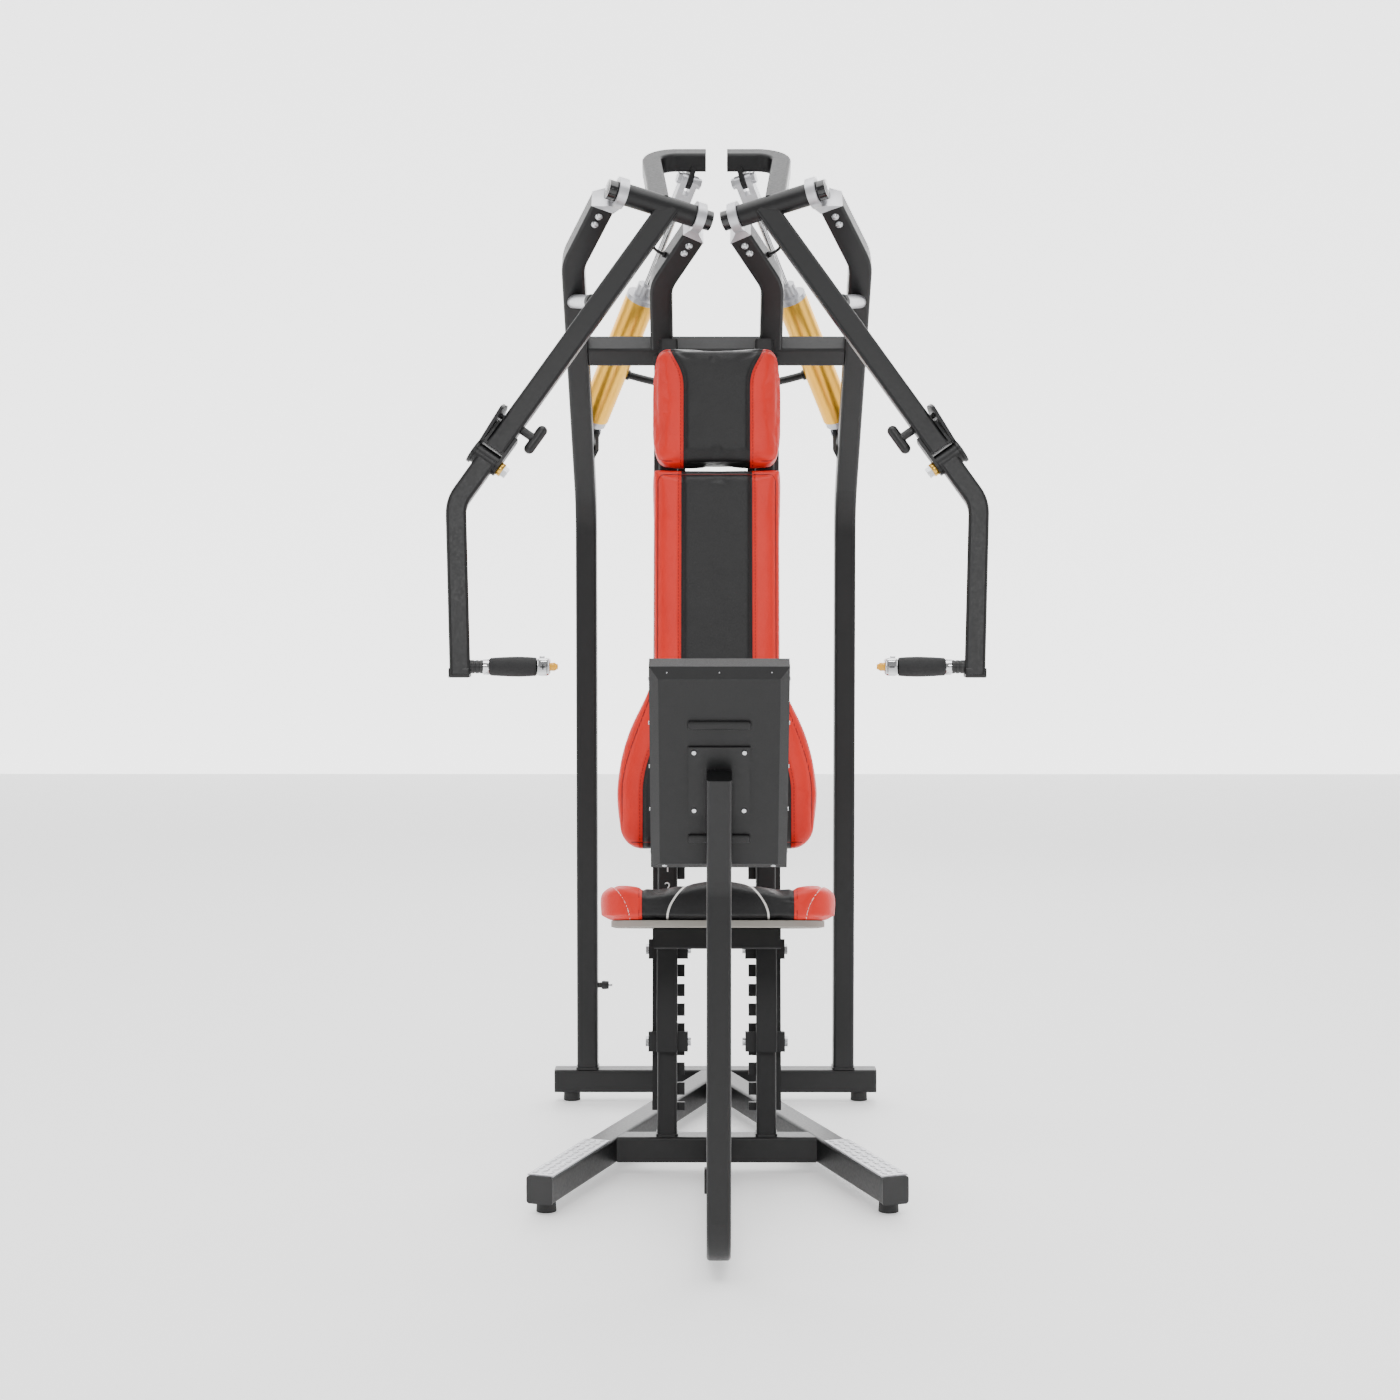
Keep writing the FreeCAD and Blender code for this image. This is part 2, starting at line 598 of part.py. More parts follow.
def hexagon(start, direction, flat_axis, across, length):
    """Hexagonal bolt head."""
    corners = []
    radius = across / math.sqrt(3)
    other = direction.cross(flat_axis)
    for step in range(7):
        angle = math.radians(60 * step)
        corners.append(start + flat_axis * (radius * math.cos(angle))
                       + other * (radius * math.sin(angle)))
    return Part.Face(Part.makePolygon(corners)).extrude(direction * length)


# ---------------------------------------------------------------- lower arms and handles
def lower_arm(name, side):
    root, hinge, down, inward, front = arm_lines(side)
    bend = hinge + down * size("lower_bend_reach")
    toe = math.radians(size("lower_toe_in"))
    drop = V(-side * math.sin(toe), 0, -math.cos(toe))
    drop = drop - front * drop.dot(front)
    drop.normalize()
    end = bend + drop * size("lower_length")
    barrel_radius = size("barrel_diameter") / 2
    outer_face = size("arm_tube") / 2 + 6
    barrel = rod_between(hinge - inward * outer_face, hinge + inward * (size("arm_tube") / 2 - 0.5),
                         barrel_radius)
    bore = rod_between(hinge - inward * 60, hinge + inward * 60,
                       size("hinge_bolt_diameter") / 2 + size("shaft_fit"))
    tube = bent_tube([hinge + down * 2, bend, end], [size("lower_bend_radius")], inward,
                     size("lower_tube"), size("lower_wall"), size("tube_corner"))
    tube = tube.cut(barrel)
    plate = sector_plate(hinge - inward * (outer_face + size("sector_thickness")), inward, down)
    grip_centre = end - drop * size("grip_above_end")
    toward = V(-side, 0, 0)
    stub_hole = rod_between(grip_centre, grip_centre + toward * 60, size("stub_diameter") / 2)
    weld = tube.fuse([barrel, plate]).cut(bore).cut(stub_hole)
    node(feature("lower_weldment_" + name, weld), "lower_arm_" + name)

    face = size("lower_tube") / 2
    places = [0.0, face + size("stub_length"), size("collar_length"), size("grip_length"),
              size("head_length")]
    for index in range(1, len(places)):
        places[index] += places[index - 1]
    stub_end, collar_end, grip_end, head_end = [grip_centre + toward * p for p in places[1:]]
    core = rod_between(grip_centre, stub_end, size("stub_diameter") / 2)
    collar = rod_between(stub_end, collar_end, size("collar_diameter") / 2)
    spine = rod_between(collar_end, grip_end, size("stub_diameter") / 2)
    head = rod_between(grip_end, head_end, size("head_diameter") / 2)
    button_radius = size("button_diameter") / 2
    socket_depth = size("button_travel") + 9
    socket = rod_between(head_end - toward * socket_depth, head_end + toward * 5,
                         button_radius + size("shaft_fit"))
    core = core.fuse([collar, spine, head]).cut(socket)
    node(feature("handle_core_" + name, core), "handle_core_" + name)
    rubber = rod_between(collar_end, grip_end, size("grip_diameter") / 2)
    rubber = rubber.cut(rod_between(collar_end - toward, grip_end + toward,
                                    size("stub_diameter") / 2))
    node(feature("grip_sleeve_" + name, rubber), "handle_grip_" + name)
    button_start = head_end - toward * 8.5
    button = rod_between(button_start, head_end + toward * size("button_proud"), button_radius)
    node(feature("button_" + name, button), "thumb_button_" + name)


def sector_plate(start, axis, down):
    """Fan-shaped index plate with a row of holes, centred on the hinge and pointing up the arm."""
    spread = 2 * size("sector_half_angle")
    thickness = size("sector_thickness")
    fan = Part.makeCylinder(size("sector_radius"), thickness, V(), Z_AXIS, spread)
    fan.rotate(V(), Z_AXIS, -spread / 2)
    hub = Part.makeCylinder(size("barrel_diameter") / 2 + 3, thickness)
    plate = fan.fuse(hub)
    for step in range(-2, 3):
        angle = math.radians(step * size("index_step"))
        place = V(size("index_radius") * math.cos(angle), size("index_radius") * math.sin(angle), -5)
        plate = plate.cut(Part.makeCylinder(size("pin_diameter") / 2 + 0.5, thickness + 10, place))
    plate.Placement = axes(start, axis, down * -1)
    return plate


# ---------------------------------------------------------------- lever hoops, cylinders and rods
def lever_hoop(name, side):
    axis = pivot_axis(side)
    centre = pivot_centre(side)
    corner = point(side * size("hoop_x"), size("hoop_forward"), size("hoop_height"))
    end = point(side * size("hoop_end_x"), size("hoop_forward"), size("hoop_height"))
    rise = corner - centre
    rise.normalize()
    normal = rise.cross(end - corner)
    normal.normalize()
    sleeve = rod_between(centre - axis * 60, centre + axis * 60, size("pivot_tube_diameter") / 2)
    hoop = bent_tube([centre, corner, end], [size("hoop_radius")], normal, size("hoop_tube"),
                     size("arm_wall"), size("tube_corner")).cut(sleeve)
    root, hinge, down, inward, front = arm_lines(side)
    arm = sweep_face(rounded_face(root, inward, front, size("arm_tube"), size("arm_tube"), 0),
                     [root, root + down * size("cheek_reach")], [])
    hoop = max(hoop.cut(arm).Solids, key=lambda solid: solid.Volume)
    pin = rod_end(side)
    up = Z_AXIS - axis * Z_AXIS.dot(axis)
    up.normalize()
    lateral = axis.cross(up)
    length = size("hoop_height") - pin.z
    lug = box_at(pin + up * (length / 2), axis, lateral, size("lug_thickness"), 32, length)
    lug = lug.fuse(rod_between(pin - axis * (size("lug_thickness") / 2),
                               pin + axis * (size("lug_thickness") / 2), 16))
    solid_hoop = sweep_face(rounded_face(centre, normal, rise.cross(normal), size("hoop_tube"),
                                         size("hoop_tube"), 0),
                            [centre, corner, end], [size("hoop_radius")])
    lug = lug.cut(solid_hoop)
    lug = max(lug.Solids, key=lambda solid: solid.Volume)
    hole = rod_between(pin - axis * 30, pin + axis * 30, size("clevis_bolt") / 2 + 0.2)
    node(feature("hoop_" + name, hoop.fuse(lug).cut(hole)), "lever_hoop_" + name)


def cylinder_foot(side):
    return point(side * size("cylinder_x"), size("cylinder_forward"), size("cylinder_height"))


def rod_end(side):
    """Pin centre at the top of the rod, kept square to the pivot's axis from the cylinder's foot."""
    raw = point(side * size("rod_end_x"), size("rod_end_forward"), size("rod_end_height"))
    axis = pivot_axis(side)
    return raw - axis * (raw - cylinder_foot(side)).dot(axis)


def air_cylinder(name, side):
    axis = pivot_axis(side)
    foot = cylinder_foot(side)
    pin = rod_end(side)
    run = pin - foot
    run.normalize()
    lateral = axis.cross(run)
    radius = size("cylinder_diameter") / 2
    start = foot + run * size("cylinder_start")
    top = start + run * size("cylinder_length")
    tube = rod_between(start, top, radius).cut(rod_between(start, top, radius
                                                           - size("cylinder_wall")))
    node(feature("tube_" + name, tube), "cylinder_tube_" + name)

    plug = 14.0
    half_eye = size("foot_eye") / 2
    stem = size("cylinder_start") - plug
    eye = box_at(foot + run * (stem / 2), axis, lateral, size("foot_eye"), 3 * half_eye, stem)
    eye = eye.fuse(rod_between(foot - axis * half_eye, foot + axis * half_eye, 1.5 * half_eye))
    bottom = rod_between(start - run * plug, start, radius - 2).fuse(eye)
    bottom = bottom.cut(rod_between(foot - axis * radius, foot + axis * radius,
                                    size("foot_pin") / 2 + size("rod_fit")))
    cap = rod_between(top, top + run * size("cylinder_cap"), radius)
    gland = rod_between(top, top + run * (size("cylinder_cap") + size("gland_length")),
                        size("gland_diameter") / 2)
    cap = cap.fuse(gland).cut(rod_between(top - run, top + run * 60,
                                          size("rod_diameter") / 2 + size("rod_fit")))
    node(group("cylinder_caps_" + name, [feature("bottom_cap_" + name, bottom),
                                         feature("top_cap_" + name, cap)]),
         "cylinder_caps_" + name)

    fork_reach = size("clevis_length") - size("clevis_top")
    fork_start = pin - run * fork_reach
    piston_top = top - run * 6
    rod = rod_between(piston_top - run * size("piston_length"), fork_start,
                      size("rod_diameter") / 2)
    piston = rod_between(piston_top - run * size("piston_length"), piston_top,
                         radius - size("cylinder_wall") - size("rod_fit"))
    node(feature("rod_" + name, rod.fuse(piston)), "piston_rod_" + name)

    half_width = size("clevis_width") / 2
    fork = box_at(pin - run * (fork_reach / 2), axis, lateral, size("clevis_width"),
                  2 * size("clevis_top"), fork_reach)
    fork = fork.fuse(rod_between(pin - axis * half_width, pin + axis * half_width,
                                 size("clevis_top")))
    slot_low = 27.0
    slot = box_at(pin + run * slot_low, axis, lateral,
                  size("lug_thickness") + 2 * size("clevis_side_gap"), 80, 4 * slot_low)
    fork = fork.cut(slot)
    cheek = (size("clevis_width") - size("lug_thickness")) / 2 - size("clevis_side_gap")
    pieces = []
    for number, sign in enumerate((-1, 1)):
        near = pin + axis * (sign * size("clevis_width") / 2)
        shank = rod_between(near - axis * (sign * (cheek - 0.5)), near, size("clevis_bolt") / 2)
        fork = fork.cut(rod_between(near - axis * (sign * (cheek + 1)), near + axis * sign,
                                    size("clevis_bolt") / 2))
        head = hexagon(near, axis * sign, lateral, 19, 8).fuse(shank)
        pieces.append(feature("clevis_bolt_%s_%d" % (name, number), head))
    pieces.append(feature("fork_" + name, fork))
    node(group("rod_clevis_" + name, pieces), "rod_clevis_" + name)


def cylinder_bracket(name, side):
    """Pair of ears welded behind the upright, with the pin that carries the cylinder's foot."""
    axis = pivot_axis(side)
    foot = cylinder_foot(side)
    toward = lean_out * -1
    toward = toward - axis * toward.dot(axis)
    toward.normalize()
    lateral = axis.cross(toward)
    path = bracket_path(side, "outer")
    envelope = sweep_face(rounded_face(path[0], X_AXIS, Y_AXIS, size("upright_tube"),
                                       size("upright_tube"), 0),
                          path, [size("lean_radius"), size("bracket_bend_radius")])
    half_ear = size("foot_ear") / 2
    ears = []
    for sign in (-1, 1):
        middle = foot + axis * (sign * (size("foot_eye") / 2 + 0.5 + half_ear))
        ear = box_at(middle + toward * 35, axis, lateral, size("foot_ear"), 32, 70)
        eye = rod_between(middle - axis * half_ear, middle + axis * half_ear, 16)
        ear = ear.fuse(eye).cut(envelope)
        ear = min(ear.Solids, key=lambda solid: (solid.CenterOfMass - foot).Length)
        ear = ear.cut(rod_between(foot - axis * 30, foot + axis * 30, size("foot_pin") / 2))
        ears.append(feature("ear_%s_%d" % (name, sign + 1), ear))
    outside = size("foot_eye") / 2 + 0.5 + size("foot_ear")
    pin = rod_between(foot - axis * outside, foot + axis * outside, size("foot_pin") / 2)
    pin = pin.fuse([hexagon(foot - axis * outside, axis * -1, lateral, 19, 7),
                    hexagon(foot + axis * outside, axis, lateral, 19, 7)])
    return ears, feature("foot_pin_" + name, pin)


def arm_stop(name, side):
    """Rod on the upright that ends in a rubber bumper behind the resting arm."""
    root, hinge, down, inward, front = arm_lines(side)
    start = on_lean(side * size("upright_x"), size("stop_along"), -size("upright_tube") / 2)
    along_arm = (root.z - start.z + size("stop_drop")) / (root.z - hinge.z)
    on_arm = root + (hinge - root) * along_arm - front * (size("arm_tube") / 2)
    on_arm = on_arm - inward * size("stop_outset")
    run = on_arm - start
    run.normalize()
    far = on_arm + run * 30
    joint = on_arm - run * (size("bumper_length") + 4)
    path = bracket_path(side, "outer")
    envelope = sweep_face(rounded_face(path[0], X_AXIS, Y_AXIS, size("upright_tube"),
                                       size("upright_tube"), 0),
                          path, [size("lean_radius"), size("bracket_bend_radius")])
    rod = rod_between(start - run * 20, joint, size("stop_diameter") / 2).cut(envelope)
    rod = min(rod.Solids, key=lambda solid: (solid.CenterOfMass - joint).Length)
    face = on_arm - front * size("stop_gap")
    keep_out = rounded_face(face, down, inward, 300, 300, 0).extrude(front * 100)
    bumper = rod_between(joint, far, size("bumper_diameter") / 2).cut(keep_out)
    return feature("stop_" + name, rod), feature("bumper_" + name, bumper)


# ---------------------------------------------------------------- seat column
def seat_column():
    under = block("under_floor", "1000", "1000", "400",
                  FreeCAD.Placement(V(-500, -500, base_top + size("flange_thickness") - 400),
                                    FreeCAD.Rotation()))
    face = on_lean(-500, size("crossbar_along"), -size("upright_tube") / 2)
    beyond = block("beyond_crossbar", "1000", "1000", "1000",
                   axes(face - lean_up * -500, lean_out, X_AXIS))
    guides, rails = [], []
    for name, side in SIDES:
        guide = bar("guide_" + name, "guide_tube", "guide_tube", "column_run",
                    axes(on_column(side * size("guide_x"), 0, -10), column_up, X_AXIS),
                    wall="guide_wall")
        flange = bar("flange_column_" + name, "guide_tube + flange_margin",
                     "guide_tube + flange_margin", "flange_thickness",
                     axes(on_column(side * size("guide_x"), 0, 0), Z_AXIS, X_AXIS))
        guides.append(fuse("guide_" + name, cut("guide_" + name, guide, under, beyond), flange))
        behind = -(size("guide_tube") + size("rail_depth")) / 2
        rail = bar("rail_" + name, "rail_width", "rail_depth", "column_run",
                   axes(on_column(side * size("rail_x"), behind, size("rail_start")),
                        column_up, X_AXIS), corner=None)
        slots = []
        inner_edge = size("rail_x") - size("rail_width") / 2
        for row in range(int(size("rack_rows"))):
            up = size("rail_start") + size("rack_pitch") * (row + 0.4)
            low_x = inner_edge - 1 if side > 0 else -inner_edge + 1 - size("rack_width")
            corner = on_column(low_x, behind + size("rail_depth"), up)
            slots.append(block("slot_%s_%d" % (name, row), "rack_width", "2 * rail_depth",
                               "rack_slot", axes(corner, column_up, X_AXIS)))
        rails.append(cut("rail_" + name, rail, group("slots_" + name, slots), beyond))
    node(group("guide_tubes", guides), "guide_tubes")
    node(group("ladder_rails", rails), "ladder_rails")


def seat_carriage():
    level = size("carriage_height")
    frame_low = level - size("seat_frame_tube")
    web = size("guide_tube") / 2 + size("clamp_gap") + size("clamp_wall")
    back = size("guide_tube") / 2 + size("rail_depth") + size("clamp_gap") + size("clamp_wall")
    clamps, bolts, steel = [], [], []
    upper = level - size("seat_frame_tube") / 2 - size("clamp_height")
    rows = (upper, upper - size("clamp_spacing"))
    for name, side in SIDES:
        leg_low = rows[1]
        leg_ahead = web + size("leg_depth") / 2
        leg = bar("carriage_leg_" + name, "leg_width", "leg_depth",
                  "clamp_spacing + clamp_height - seat_frame_tube / 2",
                  axes(on_column(side * size("guide_x"), leg_ahead, leg_low), column_up, X_AXIS),
                  wall="guide_wall", corner="carriage_corner")
        steel.append(leg)
        for row, up in enumerate(rows):
            middle = (web - back) / 2
            outer = bar("clamp_%s_%d" % (name, row), "rail_width + 2 * clamp_gap + 2 * clamp_wall",
                        "guide_tube + rail_depth + 2 * clamp_gap + 2 * clamp_wall",
                        "clamp_height", axes(on_column(side * size("rail_x"), middle, up),
                                             column_up, X_AXIS), wall="clamp_wall", corner=None)
            clamps.append(outer)
            for where, direction in (("out", side), ("in", -side)):
                wall_x = (side * size("rail_x") + direction
                          * (size("rail_width") / 2 + size("clamp_gap") + size("clamp_wall")))
                seat = on_column(wall_x, 0, up + size("clamp_height") / 2)
                pointing = V(direction, 0, 0)
                shank = rod_between(seat - pointing * size("clamp_wall"), seat, 5)
                if where == "out":
                    bolt = shank.fuse(hexagon(seat, pointing, column_up, 17, 6))
                else:
                    bolt = shank.fuse(rod_between(seat, seat + pointing * 6, 8.5))
                bolts.append(feature("clamp_bolt_%s_%s_%d" % (name, where, row), bolt))
    half = size("seat_frame_width") / 2
    tube = size("seat_frame_tube")
    near = web + tube / 2
    far = web + size("seat_frame_depth") - tube / 2
    for label, ahead in (("rear", near), ("front", far)):
        steel.append(bar("seat_cross_" + label, "seat_frame_tube", "seat_frame_tube",
                         "seat_frame_width", axes(on_column(-half, ahead, level - tube / 2),
                                                  X_AXIS, column_up), wall="guide_wall",
                         corner="carriage_corner"))
    for name, side in SIDES:
        steel.append(bar("seat_arm_" + name, "seat_frame_tube", "seat_frame_tube",
                         "seat_frame_depth - 2 * seat_frame_tube",
                         axes(on_column(side * (half - tube / 2), web + tube, level - tube / 2),
                              column_front, X_AXIS), wall="guide_wall", corner="carriage_corner"))
    node(group("seat_frame", steel), "seat_frame")
    node(group("carriage_clamps", clamps), "carriage_clamps")
    node(group("carriage_bolts", bolts), "carriage_bolts")
    board = cushion_outline(size("seat_width") - 40, size("seat_depth") - 30, 60)
    board = board.extrude(Z_AXIS * size("seat_board"))
    place = axes(on_column(0, size("seat_back") + 15, level), column_up, X_AXIS)
    node(feature("board_seat", board, seat_place(place)), "seat_board")
    cushion = cushion_outline(size("seat_width"), size("seat_depth"), 70)
    cushion = cushion.extrude(Z_AXIS * size("seat_height"))
    top_edges = [e for e in cushion.Edges if e.BoundBox.ZMin > size("seat_height") - 0.1]
    cushion = cushion.makeFillet(size("soft_edge"), top_edges)
    place = axes(on_column(0, size("seat_back"), level + size("seat_board") + size("soft_gap")),
                 column_up, X_AXIS)
    node(feature("cushion_seat", cushion, seat_place(place)), "seat_cushion")


def seat_place(place):
    """Local +Y of a seat outline points to the front edge."""
    turn = FreeCAD.Rotation(V(-1, 0, 0), V(), column_up, "ZXY")
    return FreeCAD.Placement(place.Base, turn)


def cushion_outline(wide, deep, corner):
    """Rounded rectangle from y = 0 to y = deep, centred on x = 0."""
    face = Part.makePlane(wide, deep, V(-wide / 2, 0, 0))
    solid = face.extrude(Z_AXIS)
    edges = [edge for edge in solid.Edges if edge.BoundBox.ZLength > 0.5]
    solid = solid.makeFillet(corner, edges)
    return next(f for f in solid.Faces if f.BoundBox.ZMax < 0.001)


# ---------------------------------------------------------------- back and head pads
def back_outline(inset):
    """Half-width profile of the back pad: straight above, flared at the hips, rounded below."""
    low, high = size("pad_low") + inset, size("pad_high") - inset
    narrow, wide = size("pad_width") / 2 - inset, size("pad_flare") / 2 - inset
    start, full = size("flare_start"), size("flare_full")
    round_low = 45.0
    right = []
    mid = (start + full) / 2
    upper = Part.BSplineCurve()
    upper.interpolate([V(narrow, start, 0), V((narrow + wide) / 2 + 4, mid + 10, 0),
                       V(wide, full, 0)], InitialTangent=V(0, -1, 0), FinalTangent=V(0.02, -1, 0))
    right.append(Part.LineSegment(V(narrow, high, 0), V(narrow, start, 0)).toShape())
    right.append(upper.toShape())
    right.append(Part.LineSegment(V(wide, full, 0), V(wide - 6, low + round_low, 0)).toShape())
    right.append(Part.Arc(V(wide - 6, low + round_low, 0),
                          V(wide - 19, low + round_low * 0.3, 0),
                          V(wide - 6 - round_low, low, 0)).toShape())
    left = [edge.mirror(V(), X_AXIS) for edge in right]
    top = Part.LineSegment(V(-narrow, high, 0), V(narrow, high, 0)).toShape()
    bottom_half = wide - 6 - round_low
    bottom = Part.LineSegment(V(bottom_half, low, 0), V(-bottom_half, low, 0)).toShape()
    wire = Part.Wire(Part.__sortEdges__(right + [bottom] + left + [top]))
    return Part.Face(wire)


def pads():
    behind = size("guide_tube") / 2 + size("pad_standoff")
    front = behind + size("pad_board")
    spin = FreeCAD.Rotation(X_AXIS, V(), column_front, "ZXY")
    boards, brackets = [], []
    board = back_outline(14).extrude(Z_AXIS * size("pad_board"))
    boards.append(feature("board_back", board, FreeCAD.Placement(on_column(0, behind, 0), spin)))
    cushion = back_outline(0).extrude(Z_AXIS * size("pad_thickness"))
    place = FreeCAD.Placement(on_column(0, front + size("soft_gap"), 0), spin)
    front_edges = [e for e in cushion.Edges if e.BoundBox.ZMin > size("pad_thickness") - 0.1]
    cushion = cushion.makeFillet(size("soft_edge"), front_edges)
    node(feature("cushion_back", cushion, place), "back_pad")
    head_height = size("head_high") - size("head_low")
    for label, inset, thickness, ahead in (("board", 14, size("pad_board"), behind),
                                           ("pad", 0, size("pad_thickness"),
                                            front + size("soft_gap"))):
        face = cushion_outline(size("pad_width") - 2 * inset, head_height - 2 * inset, 28)
        solid = face.extrude(Z_AXIS * thickness)
        place = FreeCAD.Placement(on_column(0, ahead, size("head_low") + inset), spin)
        if label == "board":
            boards.append(feature("board_head", solid, place))
        else:
            edges = [e for e in solid.Edges if e.BoundBox.ZMin > thickness - 0.1]
            solid = solid.makeFillet(size("soft_edge"), edges)
            node(feature("cushion_head", solid, place), "head_pad")
    node(group("pad_boards", boards), "pad_boards")
    for name, side in SIDES:
        for row, up in enumerate((size("pad_low") + 90, size("pad_high") - 120,
                                  size("head_low") + 70)):
            corner = on_column(side * size("guide_x"), size("guide_tube") / 2, up)
            brackets.append(bar("pad_bracket_%s_%d" % (name, row), "guide_tube - 8",
                                "pad_bracket_tall", "pad_standoff",
                                axes(corner, column_front, X_AXIS), wall="bracket_wall",
                                corner=None))
    node(group("pad_brackets", brackets), "pad_brackets")


# ---------------------------------------------------------------- display and its post
def display():
    tilt = math.radians(size("display_lean"))
    up = V(0, -math.sin(tilt), math.cos(tilt))
    to_user = V(0, math.cos(tilt), math.sin(tilt))
    half = size("post_tube") / 2
    start = point(0, size("front_bar_forward") + size("base_tube") / 2, base_low + half)
    foot = point(0, size("post_forward"), base_low + half)
    bend = point(0, size("post_forward"), size("post_bend_height"))
    top = bend + up * size("post_rise")
    post = bent_tube([start, foot, bend, top], [size("post_foot_radius"),
                                                size("post_bend_radius")],
                     X_AXIS, size("post_tube"), size("post_wall"), size("tube_corner"))
    cap = rounded_face(top, X_AXIS, up.cross(X_AXIS), size("post_tube"), size("post_tube"),
                       size("tube_corner")).extrude(up * 3)
    plane = bend + up * size("display_low") + to_user * (half + size("mount_plate"))
    plate_low = bend + up * size("plate_along") + to_user * half
    plate = box_at(plate_low + to_user * (size("mount_plate") / 2), X_AXIS, up,
                   size("plate_width"), size("plate_height"), size("mount_plate"))
    node(feature("post", post.fuse([cap, plate])), "display_post")

    turn = FreeCAD.Rotation(X_AXIS, V(), to_user * -1, "ZXY")
    depth = size("display_depth")
    middle = plane + up * (size("display_height") / 2) + to_user * depth
    body = doc.addObject("PartDesign::Body", "cover")
    sketch = new_sketch(body, "Outline")
    add_rectangle(sketch, "display_width", "display_height", "Outer")
    block_pad = pad(body, sketch, "display_depth")
    chamfer = body.newObject("PartDesign::Chamfer", "Bevel")
    back_edges = ["Edge%d" % number for number, edge in enumerate(block_pad.Shape.Edges, start=1)
                  if edge.BoundBox.ZMin > depth - 0.1]
    chamfer.Base = (block_pad, back_edges)
    bind(chamfer, Size="display_bevel")
    doc.recompute()
    hollow_sketch = new_sketch(body, "Hollow")
    add_rectangle(hollow_sketch, "display_width - 2 * display_bevel - 6",
                  "display_height - 2 * display_bevel - 6", "Inner")
    hollow = body.newObject("PartDesign::Pocket", "Inside")
    hollow.Profile = hollow_sketch
    hollow.Reversed = True
    bind(hollow, Length="display_depth - display_wall")
    body.Placement = FreeCAD.Placement(middle, turn)
    doc.recompute()
    node(body, "display_cover")
    inner = size("bezel_border")
    bezel = doc.addObject("PartDesign::Body", "bezel")
    sketch = new_sketch(bezel, "Border")
    add_rectangle(sketch, "display_width", "display_height", "Outer")
    add_rectangle(sketch, "display_width - 2 * bezel_border",
                  "display_height - 2 * bezel_border", "Window")
    block_pad = pad(bezel, sketch, "bezel_depth")
    bezel.Placement = FreeCAD.Placement(middle + to_user * size("bezel_depth"), turn)
    node(bezel, "display_bezel")
    lens = bar("lens", "display_width - 2 * bezel_border", "display_height - 2 * bezel_border",
               "lens_thickness", FreeCAD.Placement(middle + to_user * (size("bezel_depth") * 0.5),
                                                   turn), corner=None)
    node(lens, "display_lens")

    screws = []
    for side in (-1, 1):
        for row in range(5):
            place = middle + X_AXIS * (side * (size("display_width") / 2))
            place = place + up * (size("display_height") * (row / 4 - 0.5) * 0.86)
            place = place - to_user * 9
            screws.append(feature("edge_screw_%d_%d" % (side, row),
                                  rod_between(place - X_AXIS * (side * 4),
                                              place + X_AXIS * (side * 1.5), 3)))
        for up_side in (-1, 1):
            place = plate_low + X_AXIS * (side * (size("plate_width") / 2 - 9))
            place = place + up * (up_side * (size("plate_height") / 2 - 9))
            screws.append(feature("plate_screw_%d_%d" % (side, up_side),
                                  rod_between(place, place - to_user * 2, 3.5)))
    return screws


# ---------------------------------------------------------------- air system
def air_path(points):
    """Straight runs joined by tangent arcs; prints the arc radii."""
    edges = []
    here = points[0]
    radii = []
    for index in range(1, len(points) - 1):
        before = points[index] - points[index - 1]
        after = points[index + 1] - points[index]
        turn = before.getAngle(after)
        setback = 0.45 * min(before.Length, after.Length)
        radii.append(round(setback / math.tan(turn / 2), 1))
        before.normalize()
        after.normalize()
        entry = points[index] - before * setback
        leave = points[index] + after * setback
        bisector = (after - before)
        bisector.normalize()
        radius = setback / math.tan(turn / 2)
        centre = points[index] + bisector * (radius / math.cos(turn / 2))
        middle = centre - bisector * radius
        edges.append(Part.LineSegment(here, entry).toShape())
        edges.append(Part.Arc(entry, middle, leave).toShape())
        here = leave
    edges.append(Part.LineSegment(here, points[-1]).toShape())
    print("bend radii", radii)
    return Part.Wire(edges)


def hose(name, points, diameter):
    wire = air_path(points)
    start = points[0]
    direction = points[1] - points[0]
    ring = Part.Wire(Part.makeCircle(diameter / 2, start, direction))
    solid = wire.makePipeShell([ring], True, False)
    expected = math.pi * diameter ** 2 / 4 * wire.Length
    print(name, "length", round(wire.Length, 1), "volume ratio", round(solid.Volume / expected, 4))
    return feature(name, solid)


def mirrored(places, side):
    """The listed places are those of the left side."""
    return [V(x * -side, y, z) for x, y, z in places]


